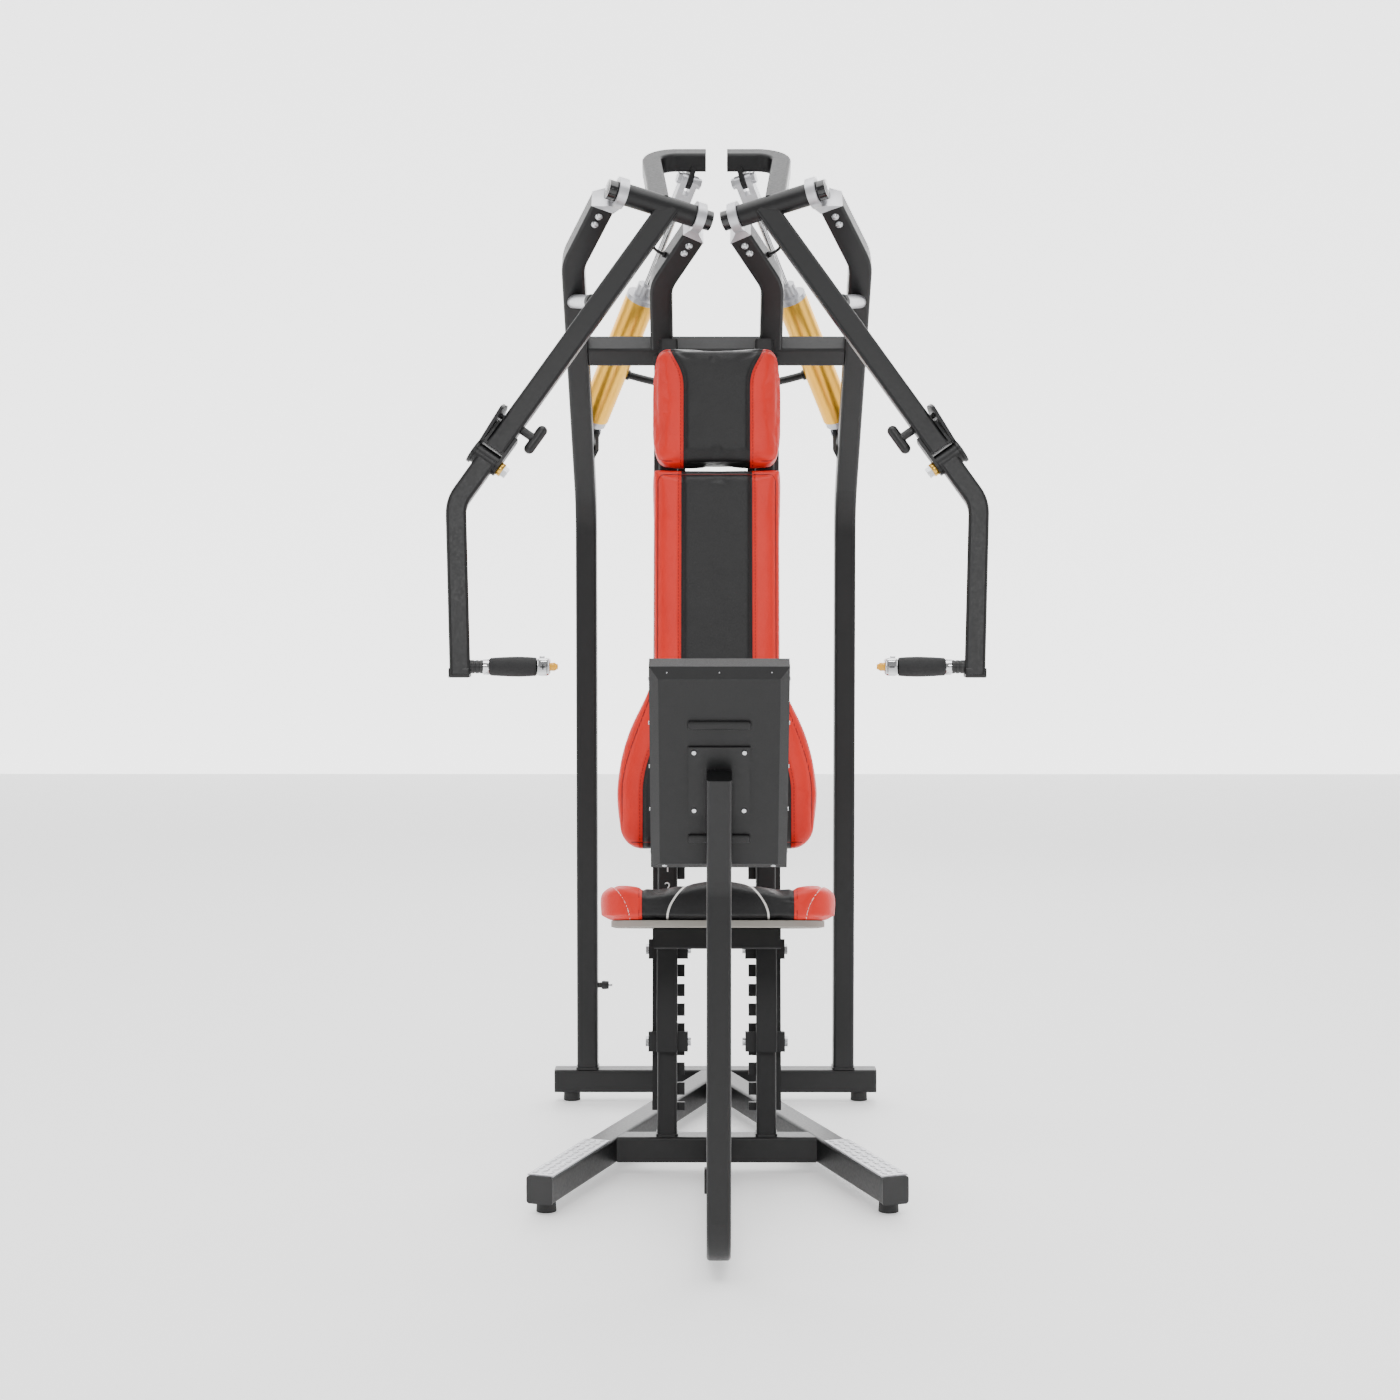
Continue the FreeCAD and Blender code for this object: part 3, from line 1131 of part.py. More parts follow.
def air_system():
    manifold_at = on_lean(0, size("crossbar_along") - size("upright_tube") / 2 - 22, 0)
    manifold = box_at(manifold_at, X_AXIS, lean_out, 90, 40, 44)
    hoses, lines = [], []
    for name, side in SIDES:
        axis = pivot_axis(side)
        foot = cylinder_foot(side)
        run = rod_end(side) - foot
        run.normalize()
        port = foot + run * size("port_along")
        start = port - axis * (size("cylinder_diameter") / 2 + size("soft_gap"))
        end = manifold_at + V(side * size("fitting_x"), size("fitting_reach"), 0)
        fitting = rod_between(end - Y_AXIS * size("fitting_reach"), end, 10)
        manifold = manifold.fuse(fitting)
        away = mirrored(((53.6, 17.4, -14.0), (113.0, -2.0, -23.0), (150.0, -52.0, -14.0)), side)
        points = [start] + [start + step for step in away] + [end]
        hoses.append(hose("hose_" + name, points, size("hose_diameter")))
        root, hinge, down, inward, front = arm_lines(side)
        exit_at = root + down * 45 + inward * 10 - front * (size("arm_tube") / 2)
        low, high = bracket_path(side, "inner")[1:]
        rise = high - low
        across = lean_out.cross(rise)
        across.normalize()
        across = across * (-1 if across.x * side < 0 else 1)
        entry = low + rise * 0.45 + across * (size("upright_tube") / 2)
        away = mirrored(((-3.0, 25.5, -4.3), (-11.7, 50.1, -12.1), (-10.2, 71.5, -22.6)), side)
        points = [exit_at] + [exit_at + step for step in away] + [entry]
        lines.append(hose("air_line_" + name, points, size("line_diameter")))
    node(feature("manifold_block", manifold), "air_manifold")
    node(group("air_hoses", hoses), "air_hoses")
    node(group("air_lines", lines), "air_lines")


# ---------------------------------------------------------------- build and write
base_frame()
fasteners = upper_frame()
ears, stops, bumpers = [], [], []
for side_name, side_sign in SIDES:
    press_arm(side_name, side_sign)
    lever_hoop(side_name, side_sign)
    lower_arm(side_name, side_sign)
    air_cylinder(side_name, side_sign)
    pair, foot_pin = cylinder_bracket(side_name, side_sign)
    ears += pair
    fasteners.append(foot_pin)
    stop, bumper = arm_stop(side_name, side_sign)
    stops.append(stop)
    bumpers.append(bumper)
node(group("cylinder_brackets", ears), "cylinder_brackets")
node(group("stop_rods", stops), "stop_rods")
node(group("stop_bumpers", bumpers), "stop_bumpers")
seat_column()
seat_carriage()
pads()
fasteners += display()
node(group("frame_fasteners", fasteners), "frame_fasteners")
air_system()
doc.recompute()

for item in doc.Objects:
    if "Invalid" in item.State or "Error" in item.State:
        raise RuntimeError("%s failed: %s" % (item.Name, item.State))
for piece in nodes:
    if piece.Shape.isNull() or not piece.Shape.isValid():
        raise RuntimeError("%s has no valid shape" % piece.Label)
for piece in nodes:
    piece.Shape.exportStep("parts/%s.step" % piece.Label)
print(len(nodes), "nodes written")
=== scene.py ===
import bpy
import json
import math
from mathutils import Matrix, Vector, noise


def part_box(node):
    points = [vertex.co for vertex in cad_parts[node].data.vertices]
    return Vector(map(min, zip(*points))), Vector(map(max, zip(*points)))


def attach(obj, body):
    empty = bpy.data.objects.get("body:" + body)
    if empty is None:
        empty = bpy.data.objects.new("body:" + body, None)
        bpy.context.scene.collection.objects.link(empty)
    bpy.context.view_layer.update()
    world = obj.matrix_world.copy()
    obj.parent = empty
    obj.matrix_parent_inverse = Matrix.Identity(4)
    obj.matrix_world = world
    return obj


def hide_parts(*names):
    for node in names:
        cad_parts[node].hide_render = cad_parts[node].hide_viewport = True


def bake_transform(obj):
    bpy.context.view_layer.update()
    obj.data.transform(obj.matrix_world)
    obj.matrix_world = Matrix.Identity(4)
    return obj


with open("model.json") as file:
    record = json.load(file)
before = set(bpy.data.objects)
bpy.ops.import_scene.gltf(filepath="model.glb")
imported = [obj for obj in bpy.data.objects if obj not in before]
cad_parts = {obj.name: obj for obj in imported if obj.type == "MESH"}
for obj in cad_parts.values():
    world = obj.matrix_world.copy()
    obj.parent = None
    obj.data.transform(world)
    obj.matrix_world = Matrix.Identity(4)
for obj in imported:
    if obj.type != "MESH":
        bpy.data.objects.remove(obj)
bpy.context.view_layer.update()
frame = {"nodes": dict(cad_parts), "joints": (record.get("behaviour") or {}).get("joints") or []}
nodes = frame["nodes"]
joints = {joint["name"]: joint for joint in frame["joints"]}
sides = (("left", -1), ("right", 1))
mm = 0.001
print("frame loaded")


studio = {
    "eye": (-0.0213, -4.2965, 1.1469), "pitchDown": 0.0539, "yaw": 0.0025, "lens": 59.14,
    "sky": "#FFFFFF", "skyStrength": 0.36, "floorTone": "#F4F4F4", "floorGlow": 0.4,
    "wallTone": "#FFFFFF", "wallGlow": 2.3, "floorSize": 60, "wallSize": 40, "wallAway": 9, "wallHigh": 10,
    "lamps": {  # place, target, width, height and watts
        "overhead": ((0, -0.6, 4.2), (0, 0.1, 0.8), 4.0, 3.0, 150),
        "highFront": ((0.2, -6.4, 3.4), (0, 0, 1.1), 3.2, 1.2, 120),
        "sideLeft": ((-4.2, -1.6, 2.2), (0, 0, 1.0), 1.6, 2.6, 45),
        "sideRight": ((4.2, -1.2, 2.2), (0, 0, 1.0), 1.6, 2.6, 35),
        "rearRim": ((0.5, 4.4, 3.0), (0, 0, 1.2), 3.0, 1.6, 60),
    },
}


def hexColour(text, alpha=1.0):  # sRGB hex to the linear values that shaders take
    parts = [int(text[i:i + 2], 16) / 255 for i in (1, 3, 5)]
    return tuple(p / 12.92 if p <= 0.04045 else ((p + 0.055) / 1.055) ** 2.4 for p in parts) + (alpha,)


def softbox(name, place, target, wide, tall, watts):
    bpy.ops.object.light_add(type="AREA", location=place)
    lamp = bpy.context.object
    lamp.name = name
    lamp.data.shape = "RECTANGLE"
    lamp.data.size, lamp.data.size_y, lamp.data.energy = wide, tall, watts
    lamp.rotation_euler = (Vector(target) - Vector(place)).to_track_quat("-Z", "Y").to_euler()


bpy.ops.object.camera_add(location=studio["eye"],
                          rotation=(math.pi / 2 - studio["pitchDown"], 0, studio["yaw"]))
bpy.context.scene.camera = bpy.context.object
bpy.context.object.data.lens = studio["lens"]
for lampName, lampLook in studio["lamps"].items():
    softbox(lampName, *lampLook)
bpy.context.scene.world = bpy.data.worlds.new("studioSky")
bpy.context.scene.world.use_nodes = True
sky = bpy.context.scene.world.node_tree.nodes["Background"]
sky.inputs["Color"].default_value = hexColour(studio["sky"])
sky.inputs["Strength"].default_value = studio["skyStrength"]


def addNode(tree, kind, inputs=None, **settings):
    made = tree.nodes.new(kind)
    for key, value in settings.items():
        setattr(made, key, value)
    for key, value in (inputs or {}).items():
        if isinstance(value, bpy.types.NodeSocket):
            tree.links.new(value, made.inputs[key])
        else:
            made.inputs[key].default_value = value
    return made


def newMaterial(name):
    made = bpy.data.materials.new(name)
    made.use_nodes = True
    made.node_tree.nodes.clear()
    return made, made.node_tree


def makeFinish(name, look):  # two tones, a grain that roughens and a bump, all in real millimetres
    made, tree = newMaterial(name)
    place = addNode(tree, "ShaderNodeTexCoord").outputs["Object"]
    place = addNode(tree, "ShaderNodeMapping", {"Vector": place, "Scale": look.get("stretch", (1, 1, 1)),
                                                "Rotation": look.get("turn", (0, 0, 0))}).outputs[0]
    patches = addNode(tree, "ShaderNodeTexNoise", {"Vector": place, "Scale": 1 / (look["patch"] * mm),
                                                   "Detail": 3.0})
    grain = addNode(tree, "ShaderNodeTexNoise", {"Vector": place, "Scale": 1 / (look["grain"] * mm),
                                                 "Detail": 2.0})
    colour = addNode(tree, "ShaderNodeMix", {0: patches.outputs[0], 6: hexColour(look["tones"][0]),
                                             7: hexColour(look["tones"][1])}, data_type="RGBA")
    rough = addNode(tree, "ShaderNodeMapRange", {0: grain.outputs[0], 1: 0.3, 2: 0.7,
                                                 3: look["rough"][0], 4: look["rough"][1]})
    bump = addNode(tree, "ShaderNodeBump", {"Height": grain.outputs[0], "Distance": look["depth"] * mm,
                                            "Strength": 1.0})
    shader = addNode(tree, "ShaderNodeBsdfPrincipled", {
        "Base Color": colour.outputs[2], "Roughness": rough.outputs[0], "Normal": bump.outputs[0],
        "Metallic": look.get("metal", 0.0), "IOR": look.get("ior", 1.5),
        "Coat Weight": look.get("coat", 0.0)})
    addNode(tree, "ShaderNodeOutputMaterial", {"Surface": shader.outputs[0]})
    return made


finishes = {
    # polyester powder coat, baked: satin with a faint orange peel, drawn at 5 mm so that it shows
    "powderCoat": {"tones": ("#0E0E0F", "#141415"), "rough": (0.34, 0.44), "patch": 90, "grain": 5,
                   "depth": 0.05, "ior": 1.42},
    # die-cast aluminium under silver paint: soft grey glints
    "castSilver": {"tones": ("#B4B4B7", "#D2D2D6"), "rough": (0.28, 0.42), "patch": 12, "grain": 2,
                   "depth": 0.06, "metal": 0.75},
    # black enamel over turned steel: glossy
    "blackEnamel": {"tones": ("#131314", "#1B1B1C"), "rough": (0.12, 0.2), "patch": 30, "grain": 6,
                    "depth": 0.01, "coat": 0.4},
    # satin anodised aluminium tube, drawn lengthwise
    "goldAnodised": {"tones": ("#FFB42C", "#FFCB50"), "rough": (0.3, 0.34), "patch": 120, "grain": 9,
                     "depth": 0.002, "metal": 0.8},
    # hard chromed and ground rod
    "groundRod": {"tones": ("#C9C9CA", "#DADADB"), "rough": (0.12, 0.2), "patch": 20, "grain": 2,
                  "depth": 0.004, "metal": 1.0},
    # bright zinc plate on steel screws
    "zincPlate": {"tones": ("#B9BBBE", "#D5D6D8"), "rough": (0.22, 0.36), "patch": 8, "grain": 2,
                  "depth": 0.02, "metal": 1.0},
    # yellow passivated bush
    "brassBush": {"tones": ("#C99A3C", "#E0B55A"), "rough": (0.22, 0.3), "patch": 8, "grain": 2,
                  "depth": 0.01, "metal": 1.0},
    # polished chrome plate
    "chromePlate": {"tones": ("#D2D2D4", "#E6E6E8"), "rough": (0.06, 0.12), "patch": 25, "grain": 3,
                    "depth": 0.004, "metal": 1.0},
    # closed-cell rubber grip, moulded: dull with fine pits, drawn at 1.6 mm
    "gripRubber": {"tones": ("#151516", "#1D1D1E"), "rough": (0.62, 0.8), "patch": 12, "grain": 1.6,
                   "depth": 0.25},
    # glossy ABS
    "yellowPlastic": {"tones": ("#EDA71B", "#F6B62E"), "rough": (0.2, 0.28), "patch": 10, "grain": 3,
                      "depth": 0.01, "coat": 0.3},
    # moulded ABS caps: satin black
    "blackPlastic": {"tones": ("#101011", "#161617"), "rough": (0.3, 0.42), "patch": 20, "grain": 1.5,
                     "depth": 0.03},
    # spark-textured ABS housing
    "sparkPlastic": {"tones": ("#101011", "#161617"), "rough": (0.42, 0.55), "patch": 40, "grain": 1.8,
                     "depth": 0.08, "ior": 1.42},
    # tinted acrylic window
    "darkAcrylic": {"tones": ("#08090B", "#0B0D10"), "rough": (0.05, 0.08), "patch": 60, "grain": 9,
                    "depth": 0.002, "coat": 0.5},
    # moulded foot rubber
    "footRubber": {"tones": ("#1C1C1D", "#262626"), "rough": (0.6, 0.75), "patch": 15, "grain": 2,
                   "depth": 0.12},
    # polyurethane air hose: smooth and slightly waxy
    "hosePlastic": {"tones": ("#161617", "#1F1F20"), "rough": (0.32, 0.42), "patch": 20, "grain": 3,
                    "depth": 0.02},
    # grey primed plywood, with the grain along X
    "primedPlywood": {"tones": ("#7E7A74", "#98938B"), "rough": (0.6, 0.75), "patch": 25, "grain": 3,
                      "depth": 0.15, "stretch": (0.12, 1, 1)},
    # embossed aluminium tread sheet: bright and scuffed
    "treadSheet": {"tones": ("#B4B4B8", "#DCDCE0"), "rough": (0.3, 0.55), "patch": 9, "grain": 3,
                   "depth": 0.25, "metal": 0.55},
    # anodised block, dark
    "darkAnodised": {"tones": ("#37373A", "#424246"), "rough": (0.35, 0.45), "patch": 15, "grain": 2,
                     "depth": 0.03, "metal": 0.7},
    # screen-printed ink: flat and even
    "whiteInk": {"tones": ("#E4E4E4", "#F2F2F2"), "rough": (0.45, 0.6), "patch": 8, "grain": 2,
                 "depth": 0.01},
    # black enamel ink, a little softer than the white
    "blackInk": {"tones": ("#101011", "#161617"), "rough": (0.4, 0.5), "patch": 8, "grain": 2,
                 "depth": 0.01},
}
finish = {name: makeFinish(name, look) for name, look in finishes.items()}

vinylLook = {
    "red": ("#C4190D", "#DA2415"), "black": ("#0E0E0F", "#171718"), "grain": 2.6, "crease": 22,
    "seam": 1.3, "stitchAway": 6.0, "stitchWide": 0.8, "stitchPitch": 7.0,
}


def makeVinyl(name, pipeTone, pipeWide):
    # expanded vinyl on fabric, calendered: leather-like pebbles, drawn at 2.6 mm, and soft creases
    made, tree = newMaterial(name)
    look = vinylLook
    place = addNode(tree, "ShaderNodeTexCoord").outputs["Object"]
    side, pipe, run = [addNode(tree, "ShaderNodeAttribute", attribute_name=key).outputs["Fac"]
                       for key in ("redSide", "pipeAway", "seamRun")]
    tone = addNode(tree, "ShaderNodeTexNoise", {"Vector": place, "Scale": 1 / (60 * mm), "Detail": 4.0})
    red = addNode(tree, "ShaderNodeMix", {0: tone.outputs[0], 6: hexColour(look["red"][0]),
                                          7: hexColour(look["red"][1])}, data_type="RGBA")
    black = addNode(tree, "ShaderNodeMix", {0: tone.outputs[0], 6: hexColour(look["black"][0]),
                                            7: hexColour(look["black"][1])}, data_type="RGBA")
    isRed = addNode(tree, "ShaderNodeMapRange", {0: side, 1: -0.4 * mm, 2: 0.4 * mm})
    colour = addNode(tree, "ShaderNodeMix", {0: isRed.outputs[0], 6: black.outputs[2],
                                             7: red.outputs[2]}, data_type="RGBA")
    away = addNode(tree, "ShaderNodeMath", {0: side}, operation="ABSOLUTE").outputs[0]
    seam = addNode(tree, "ShaderNodeMapRange", {0: away, 1: look["seam"] * mm, 2: 0.4 * look["seam"] * mm})
    colour = addNode(tree, "ShaderNodeMix", {0: seam.outputs[0], 6: colour.outputs[2],
                                             7: hexColour("#120C0B")}, data_type="RGBA")
    offset = addNode(tree, "ShaderNodeMath", {0: away, 1: look["stitchAway"] * mm}, operation="SUBTRACT")
    offset = addNode(tree, "ShaderNodeMath", {0: offset.outputs[0]}, operation="ABSOLUTE")
    line = addNode(tree, "ShaderNodeMath", {0: offset.outputs[0], 1: look["stitchWide"] * mm},
                   operation="LESS_THAN")
    dash = addNode(tree, "ShaderNodeMath", {0: run, 1: look["stitchPitch"] * mm}, operation="MODULO")
    dash = addNode(tree, "ShaderNodeMath", {0: dash.outputs[0], 1: 0.68 * look["stitchPitch"] * mm},
                   operation="LESS_THAN")
    stitch = addNode(tree, "ShaderNodeMath", {0: line.outputs[0], 1: dash.outputs[0]}, operation="MULTIPLY")
    stitchShown = addNode(tree, "ShaderNodeMath", {0: stitch.outputs[0], 1: 0.45}, operation="MULTIPLY")
    colour = addNode(tree, "ShaderNodeMix", {0: stitchShown.outputs[0], 6: colour.outputs[2],
                                             7: hexColour("#0D0D0D")}, data_type="RGBA")
    # along the piping groove the colour is painted light: painted shade in the groove on the pads, a
    # painted highlight along it on the seat
    paintedGrooveLine = addNode(tree, "ShaderNodeMapRange", {0: pipe, 1: pipeWide * mm, 2: 0.7 * pipeWide * mm})
    colour = addNode(tree, "ShaderNodeMix", {0: paintedGrooveLine.outputs[0], 6: colour.outputs[2],
                                             7: hexColour(pipeTone)}, data_type="RGBA")
    pebbles = addNode(tree, "ShaderNodeTexVoronoi", {"Vector": place, "Scale": 1 / (look["grain"] * mm)})
    creases = addNode(tree, "ShaderNodeTexNoise", {"Vector": place, "Scale": 1 / (look["crease"] * mm),
                                                   "Detail": 2.0})
    first = addNode(tree, "ShaderNodeBump", {"Height": creases.outputs[0], "Distance": 0.9 * mm,
                                             "Strength": 0.6})
    second = addNode(tree, "ShaderNodeBump", {"Height": pebbles.outputs[0], "Distance": 0.28 * mm,
                                              "Strength": 0.8, "Normal": first.outputs[0]})
    third = addNode(tree, "ShaderNodeBump", {"Height": stitch.outputs[0], "Distance": 0.5 * mm,
                                             "Strength": 0.8, "Normal": second.outputs[0]})
    rough = addNode(tree, "ShaderNodeMapRange", {0: pebbles.outputs[0], 1: 0.0, 2: 0.9, 3: 0.36, 4: 0.52})
    shader = addNode(tree, "ShaderNodeBsdfPrincipled", {"Base Color": colour.outputs[2],
                                                        "Roughness": rough.outputs[0], "IOR": 1.4,
                                                        "Normal": third.outputs[0]})
    addNode(tree, "ShaderNodeOutputMaterial", {"Surface": shader.outputs[0]})
    return made


# the piping tone is painted light: a darker red as painted shade in the pads' piping groove, a near-white
# painted highlight along the seat's groove
padVinyl = makeVinyl("padVinyl", "#5E1410", 1.2)
seatVinyl = makeVinyl("seatVinyl", "#D9D6D2", 1.5)
print("materials made")

nodeFinish = {
    "rear_crossbar": "powderCoat", "base_legs": "powderCoat", "front_crossbar": "powderCoat",
    "upright": "powderCoat", "upper_crossbar": "powderCoat", "inner_brackets": "powderCoat",
    "guide_tubes": "powderCoat", "ladder_rails": "powderCoat", "display_post": "powderCoat",
    "pad_brackets": "powderCoat", "seat_frame": "powderCoat", "cylinder_brackets": "powderCoat",
    "press_arm": "powderCoat", "lower_arm": "powderCoat", "lever_hoop": "powderCoat",
    "carriage_clamps": "powderCoat", "rod_clevis": "castSilver", "base_end_caps": "blackPlastic",
    "rubber_feet": "footRubber", "stop_bumpers": "footRubber", "tread_plates": "treadSheet",
    "bearing_blocks": "castSilver", "stop_rods": "castSilver", "bearing_inserts": "blackEnamel",
    "pivot_shaft": "blackEnamel", "piston_rod": "groundRod", "cylinder_tube": "goldAnodised",
    "cylinder_caps": "castSilver", "frame_fasteners": "zincPlate", "carriage_bolts": "zincPlate",
    "hinge_bolt": "zincPlate", "handle_core": "chromePlate", "handle_grip": "gripRubber",
    "thumb_button": "yellowPlastic", "pull_pin": "blackPlastic", "display_cover": "sparkPlastic",
    "display_bezel": "sparkPlastic", "display_lens": "darkAcrylic", "pad_boards": "primedPlywood",
    "seat_board": "primedPlywood", "air_manifold": "darkAnodised", "air_hoses": "hosePlastic",
    "air_lines": "hosePlastic", "head_pad": "blackPlastic", "back_pad": "blackPlastic",
    "seat_cushion": "blackPlastic",
}


def give(piece, *names):
    piece.data.materials.clear()
    for name in names:
        piece.data.materials.append(finish[name] if isinstance(name, str) else name)
    return piece


for nodeName, node in nodes.items():
    give(node, nodeFinish[nodeName.replace("_left", "").replace("_right", "")])


def activate(piece):
    bpy.ops.object.select_all(action="DESELECT")
    piece.select_set(True)
    bpy.context.view_layer.objects.active = piece
    return piece


def settle(piece, origin=(0, 0, 0), zAxis=(0, 0, 1), xAxis=(1, 0, 0)):
    # a piece modelled at the world's origin goes to its place, and the place into its mesh
    up = Vector(zAxis).normalized()
    if abs(up.dot(Vector(xAxis))) > 0.999:  # a piece laid along X takes its own X from Y
        xAxis = (0, 1, 0)
    across = (Vector(xAxis) - up * up.dot(Vector(xAxis))).normalized()
    activate(piece)
    bpy.ops.object.transform_apply(location=True, rotation=True, scale=True)
    turn = Matrix((across, up.cross(across), up)).transposed().to_4x4()
    piece.matrix_world = Matrix.Translation(Vector(origin)) @ turn
    bpy.ops.object.transform_apply(location=True, rotation=True, scale=True)
    return piece


def useModifier(piece, kind, **settings):
    activate(piece)
    made = piece.modifiers.new(kind.title(), kind)
    for key, value in settings.items():
        setattr(made, key, value)
    bpy.ops.object.modifier_apply(modifier=made.name)
    return piece


def smooth(piece, angle=35):
    activate(piece)
    bpy.ops.object.shade_smooth_by_angle(angle=math.radians(angle))
    return piece


def newBox(name, size, bevel, steps=3):
    bpy.ops.object.select_all(action="DESELECT")
    bpy.ops.mesh.primitive_cube_add(size=1)
    piece = bpy.context.object
    piece.name = name
    piece.scale = [edge * mm for edge in size]
    bpy.ops.object.transform_apply(scale=True)
    useModifier(piece, "BEVEL", width=bevel * mm, segments=steps, limit_method="NONE")
    return smooth(piece, 50)


def newTurned(name, profile, steps=48):
    # profile points (radius, height) in mm, spun round Z; it starts and ends on the axis when solid
    mesh = bpy.data.meshes.new(name)
    mesh.from_pydata([(r * mm, 0, h * mm) for r, h in profile],
                     [(i, i + 1) for i in range(len(profile) - 1)], [])
    piece = bpy.data.objects.new(name, mesh)
    bpy.context.scene.collection.objects.link(piece)
    activate(piece)
    bpy.ops.object.mode_set(mode="EDIT")
    bpy.ops.mesh.select_all(action="SELECT")
    bpy.ops.mesh.spin(steps=steps, angle=math.tau, center=(0, 0, 0), axis=(0, 0, 1))
    bpy.ops.mesh.select_all(action="SELECT")
    bpy.ops.mesh.remove_doubles(threshold=0.02 * mm)
    bpy.ops.mesh.normals_make_consistent(inside=False)
    bpy.ops.object.mode_set(mode="OBJECT")
    return smooth(piece, 40)


def joinAll(name, pieces):
    bpy.ops.object.select_all(action="DESELECT")
    for piece in pieces:
        piece.select_set(True)
    bpy.context.view_layer.objects.active = pieces[0]
    if len(pieces) > 1:
        bpy.ops.object.join()
    pieces[0].name = name
    return pieces[0]


def finishPiece(piece, body, slot, *names, replaces=()):
    give(piece, *names)
    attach(piece, body)
    if replaces:
        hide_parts(*replaces)
    return piece


# points of the left side's route, in mm, from the moving piece to the frame
hoseLook = {
    "airHose": {"radius": 8.0, "stiffness": "medium", "body": "cylinder_", "route": [
        (187.4, 569.5, 1569.7), (133.8, 586.9, 1555.7), (74.4, 567.5, 1546.7), (37.4, 517.5, 1555.7),
        (36.0, 459.2, 1569.8)]},
    "airLine": {"radius": 3.0, "stiffness": "limp", "body": "press_arm_", "route": [
        (110.8, 118.9, 1798.1), (113.8, 144.4, 1793.8), (122.5, 169.0, 1786.0), (121.0, 190.4, 1775.5),
        (100.2, 204.7, 1769.0)]},
}


def routeCurve(name, route, radius):
    data = bpy.data.curves.new(name, "CURVE")
    data.dimensions = "3D"
    spline = data.splines.new("NURBS")
    spline.points.add(len(route) - 1)
    for point, place in zip(spline.points, route):
        point.co = (*place, 1)
    spline.order_u = 3
    spline.use_endpoint_u = True
    spline.resolution_u = 12
    data.bevel_depth = radius
    data.bevel_resolution = 6
    data.use_fill_caps = True
    curve = bpy.data.objects.new(name, data)
    bpy.context.scene.collection.objects.link(curve)
    bpy.context.view_layer.update()
    mesh = bpy.data.meshes.new_from_object(curve.evaluated_get(bpy.context.evaluated_depsgraph_get()))
    bpy.data.objects.remove(curve)
    return mesh


for kind, look in hoseLook.items():
    for sideName, side in sides:
        route = [Vector((side * x, y, z)) * mm for x, y, z in look["route"]]
        line = [vertex.co.copy() for vertex in routeCurve("line", route, 0).vertices]
        tube = routeCurve(kind, route, look["radius"] * mm)
        piece = bpy.data.objects.new("%s_%s" % (kind, sideName), tube)
        bpy.context.scene.collection.objects.link(piece)
        give(piece, "hosePlastic")
        smooth(piece, 60)
        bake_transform(piece)
        if side < 0:
            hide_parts("air_hoses" if kind == "airHose" else "air_lines")
        collar = look["radius"] + 3.0
        ring = ((0, 0), (collar, 0), (collar, 5), (collar - 1.2, 6.4), (look["radius"] - 0.2, 7), (0, 7))
        for where, near, far, body in (("Start", line[0], line[1], look["body"] + sideName),
                                       ("End", line[-1], line[-2], "frame")):
            nut = newTurned("%sNut%s_%s" % (kind, where, sideName), ring, 24)
            settle(nut, near - (far - near).normalized() * 0.4 * mm, far - near)
            finishPiece(nut, body, "cap_plastic", "blackPlastic")
print("hoses made")


seatAxis = Vector(joints["seat_height"]["axis"])
padAxes = {"up": seatAxis, "front": Vector((0, -seatAxis.z, seatAxis.y))}


def smoothStep(value):
    value = min(1.0, max(0.0, value))
    return value * value * (3 - 2 * value)


def roundedAway(x, y, halfWide, halfTall, corner):  # signed distance from a rounded rectangle
    qx, qy = abs(x) - halfWide + corner, abs(y) - halfTall + corner
    return math.hypot(max(qx, 0), max(qy, 0)) + min(max(qx, qy), 0) - corner


def swell(name, nodeName, voxel, shrink, pressure, cap):
    # a copy of the plain solid, remeshed and blown up a little under its cover
    piece = bpy.data.objects.new(name, nodes[nodeName].data.copy())
    bpy.context.scene.collection.objects.link(piece)
    activate(piece)
    bpy.ops.object.mode_set(mode="EDIT")
    bpy.ops.mesh.select_all(action="SELECT")
    bpy.ops.mesh.remove_doubles(threshold=0.01 * mm)
    bpy.ops.object.mode_set(mode="OBJECT")
    piece.data.remesh_voxel_size = voxel * mm
    bpy.ops.object.voxel_remesh()
    bpy.ops.object.mode_set(mode="EDIT")
    bpy.ops.mesh.select_all(action="SELECT")
    bpy.ops.mesh.vertices_smooth(factor=0.5, repeat=3)
    bpy.ops.transform.shrink_fatten(value=-shrink * mm)
    bpy.ops.object.mode_set(mode="OBJECT")
    start = [vertex.co.copy() for vertex in piece.data.vertices]
    cloth = piece.modifiers.new("Swell", "CLOTH")
    cloth.settings.use_pressure = True
    cloth.settings.uniform_pressure_force = pressure
    cloth.settings.effector_weights.gravity = 0
    cloth.settings.quality = 4
    cloth.point_cache.frame_start, cloth.point_cache.frame_end = 1, 20
    for step in range(1, 21):
        bpy.context.scene.frame_set(step)
    bpy.ops.object.modifier_apply(modifier=cloth.name)
    bpy.context.scene.frame_set(1)
    for vertex, first in zip(piece.data.vertices, start):
        moved = vertex.co - first
        if moved.length > cap * mm:
            vertex.co = first + moved * (cap * mm / moved.length)
    useModifier(piece, "SUBSURF", levels=1, render_levels=1)
    print(name, "swelled", len(piece.data.polygons), "faces")
    return piece


def refit(value, span, low, high):  # carries a value from the cover's own span to the solid's
    return low + (value - span[0]) / (span[1] - span[0]) * (high - low)


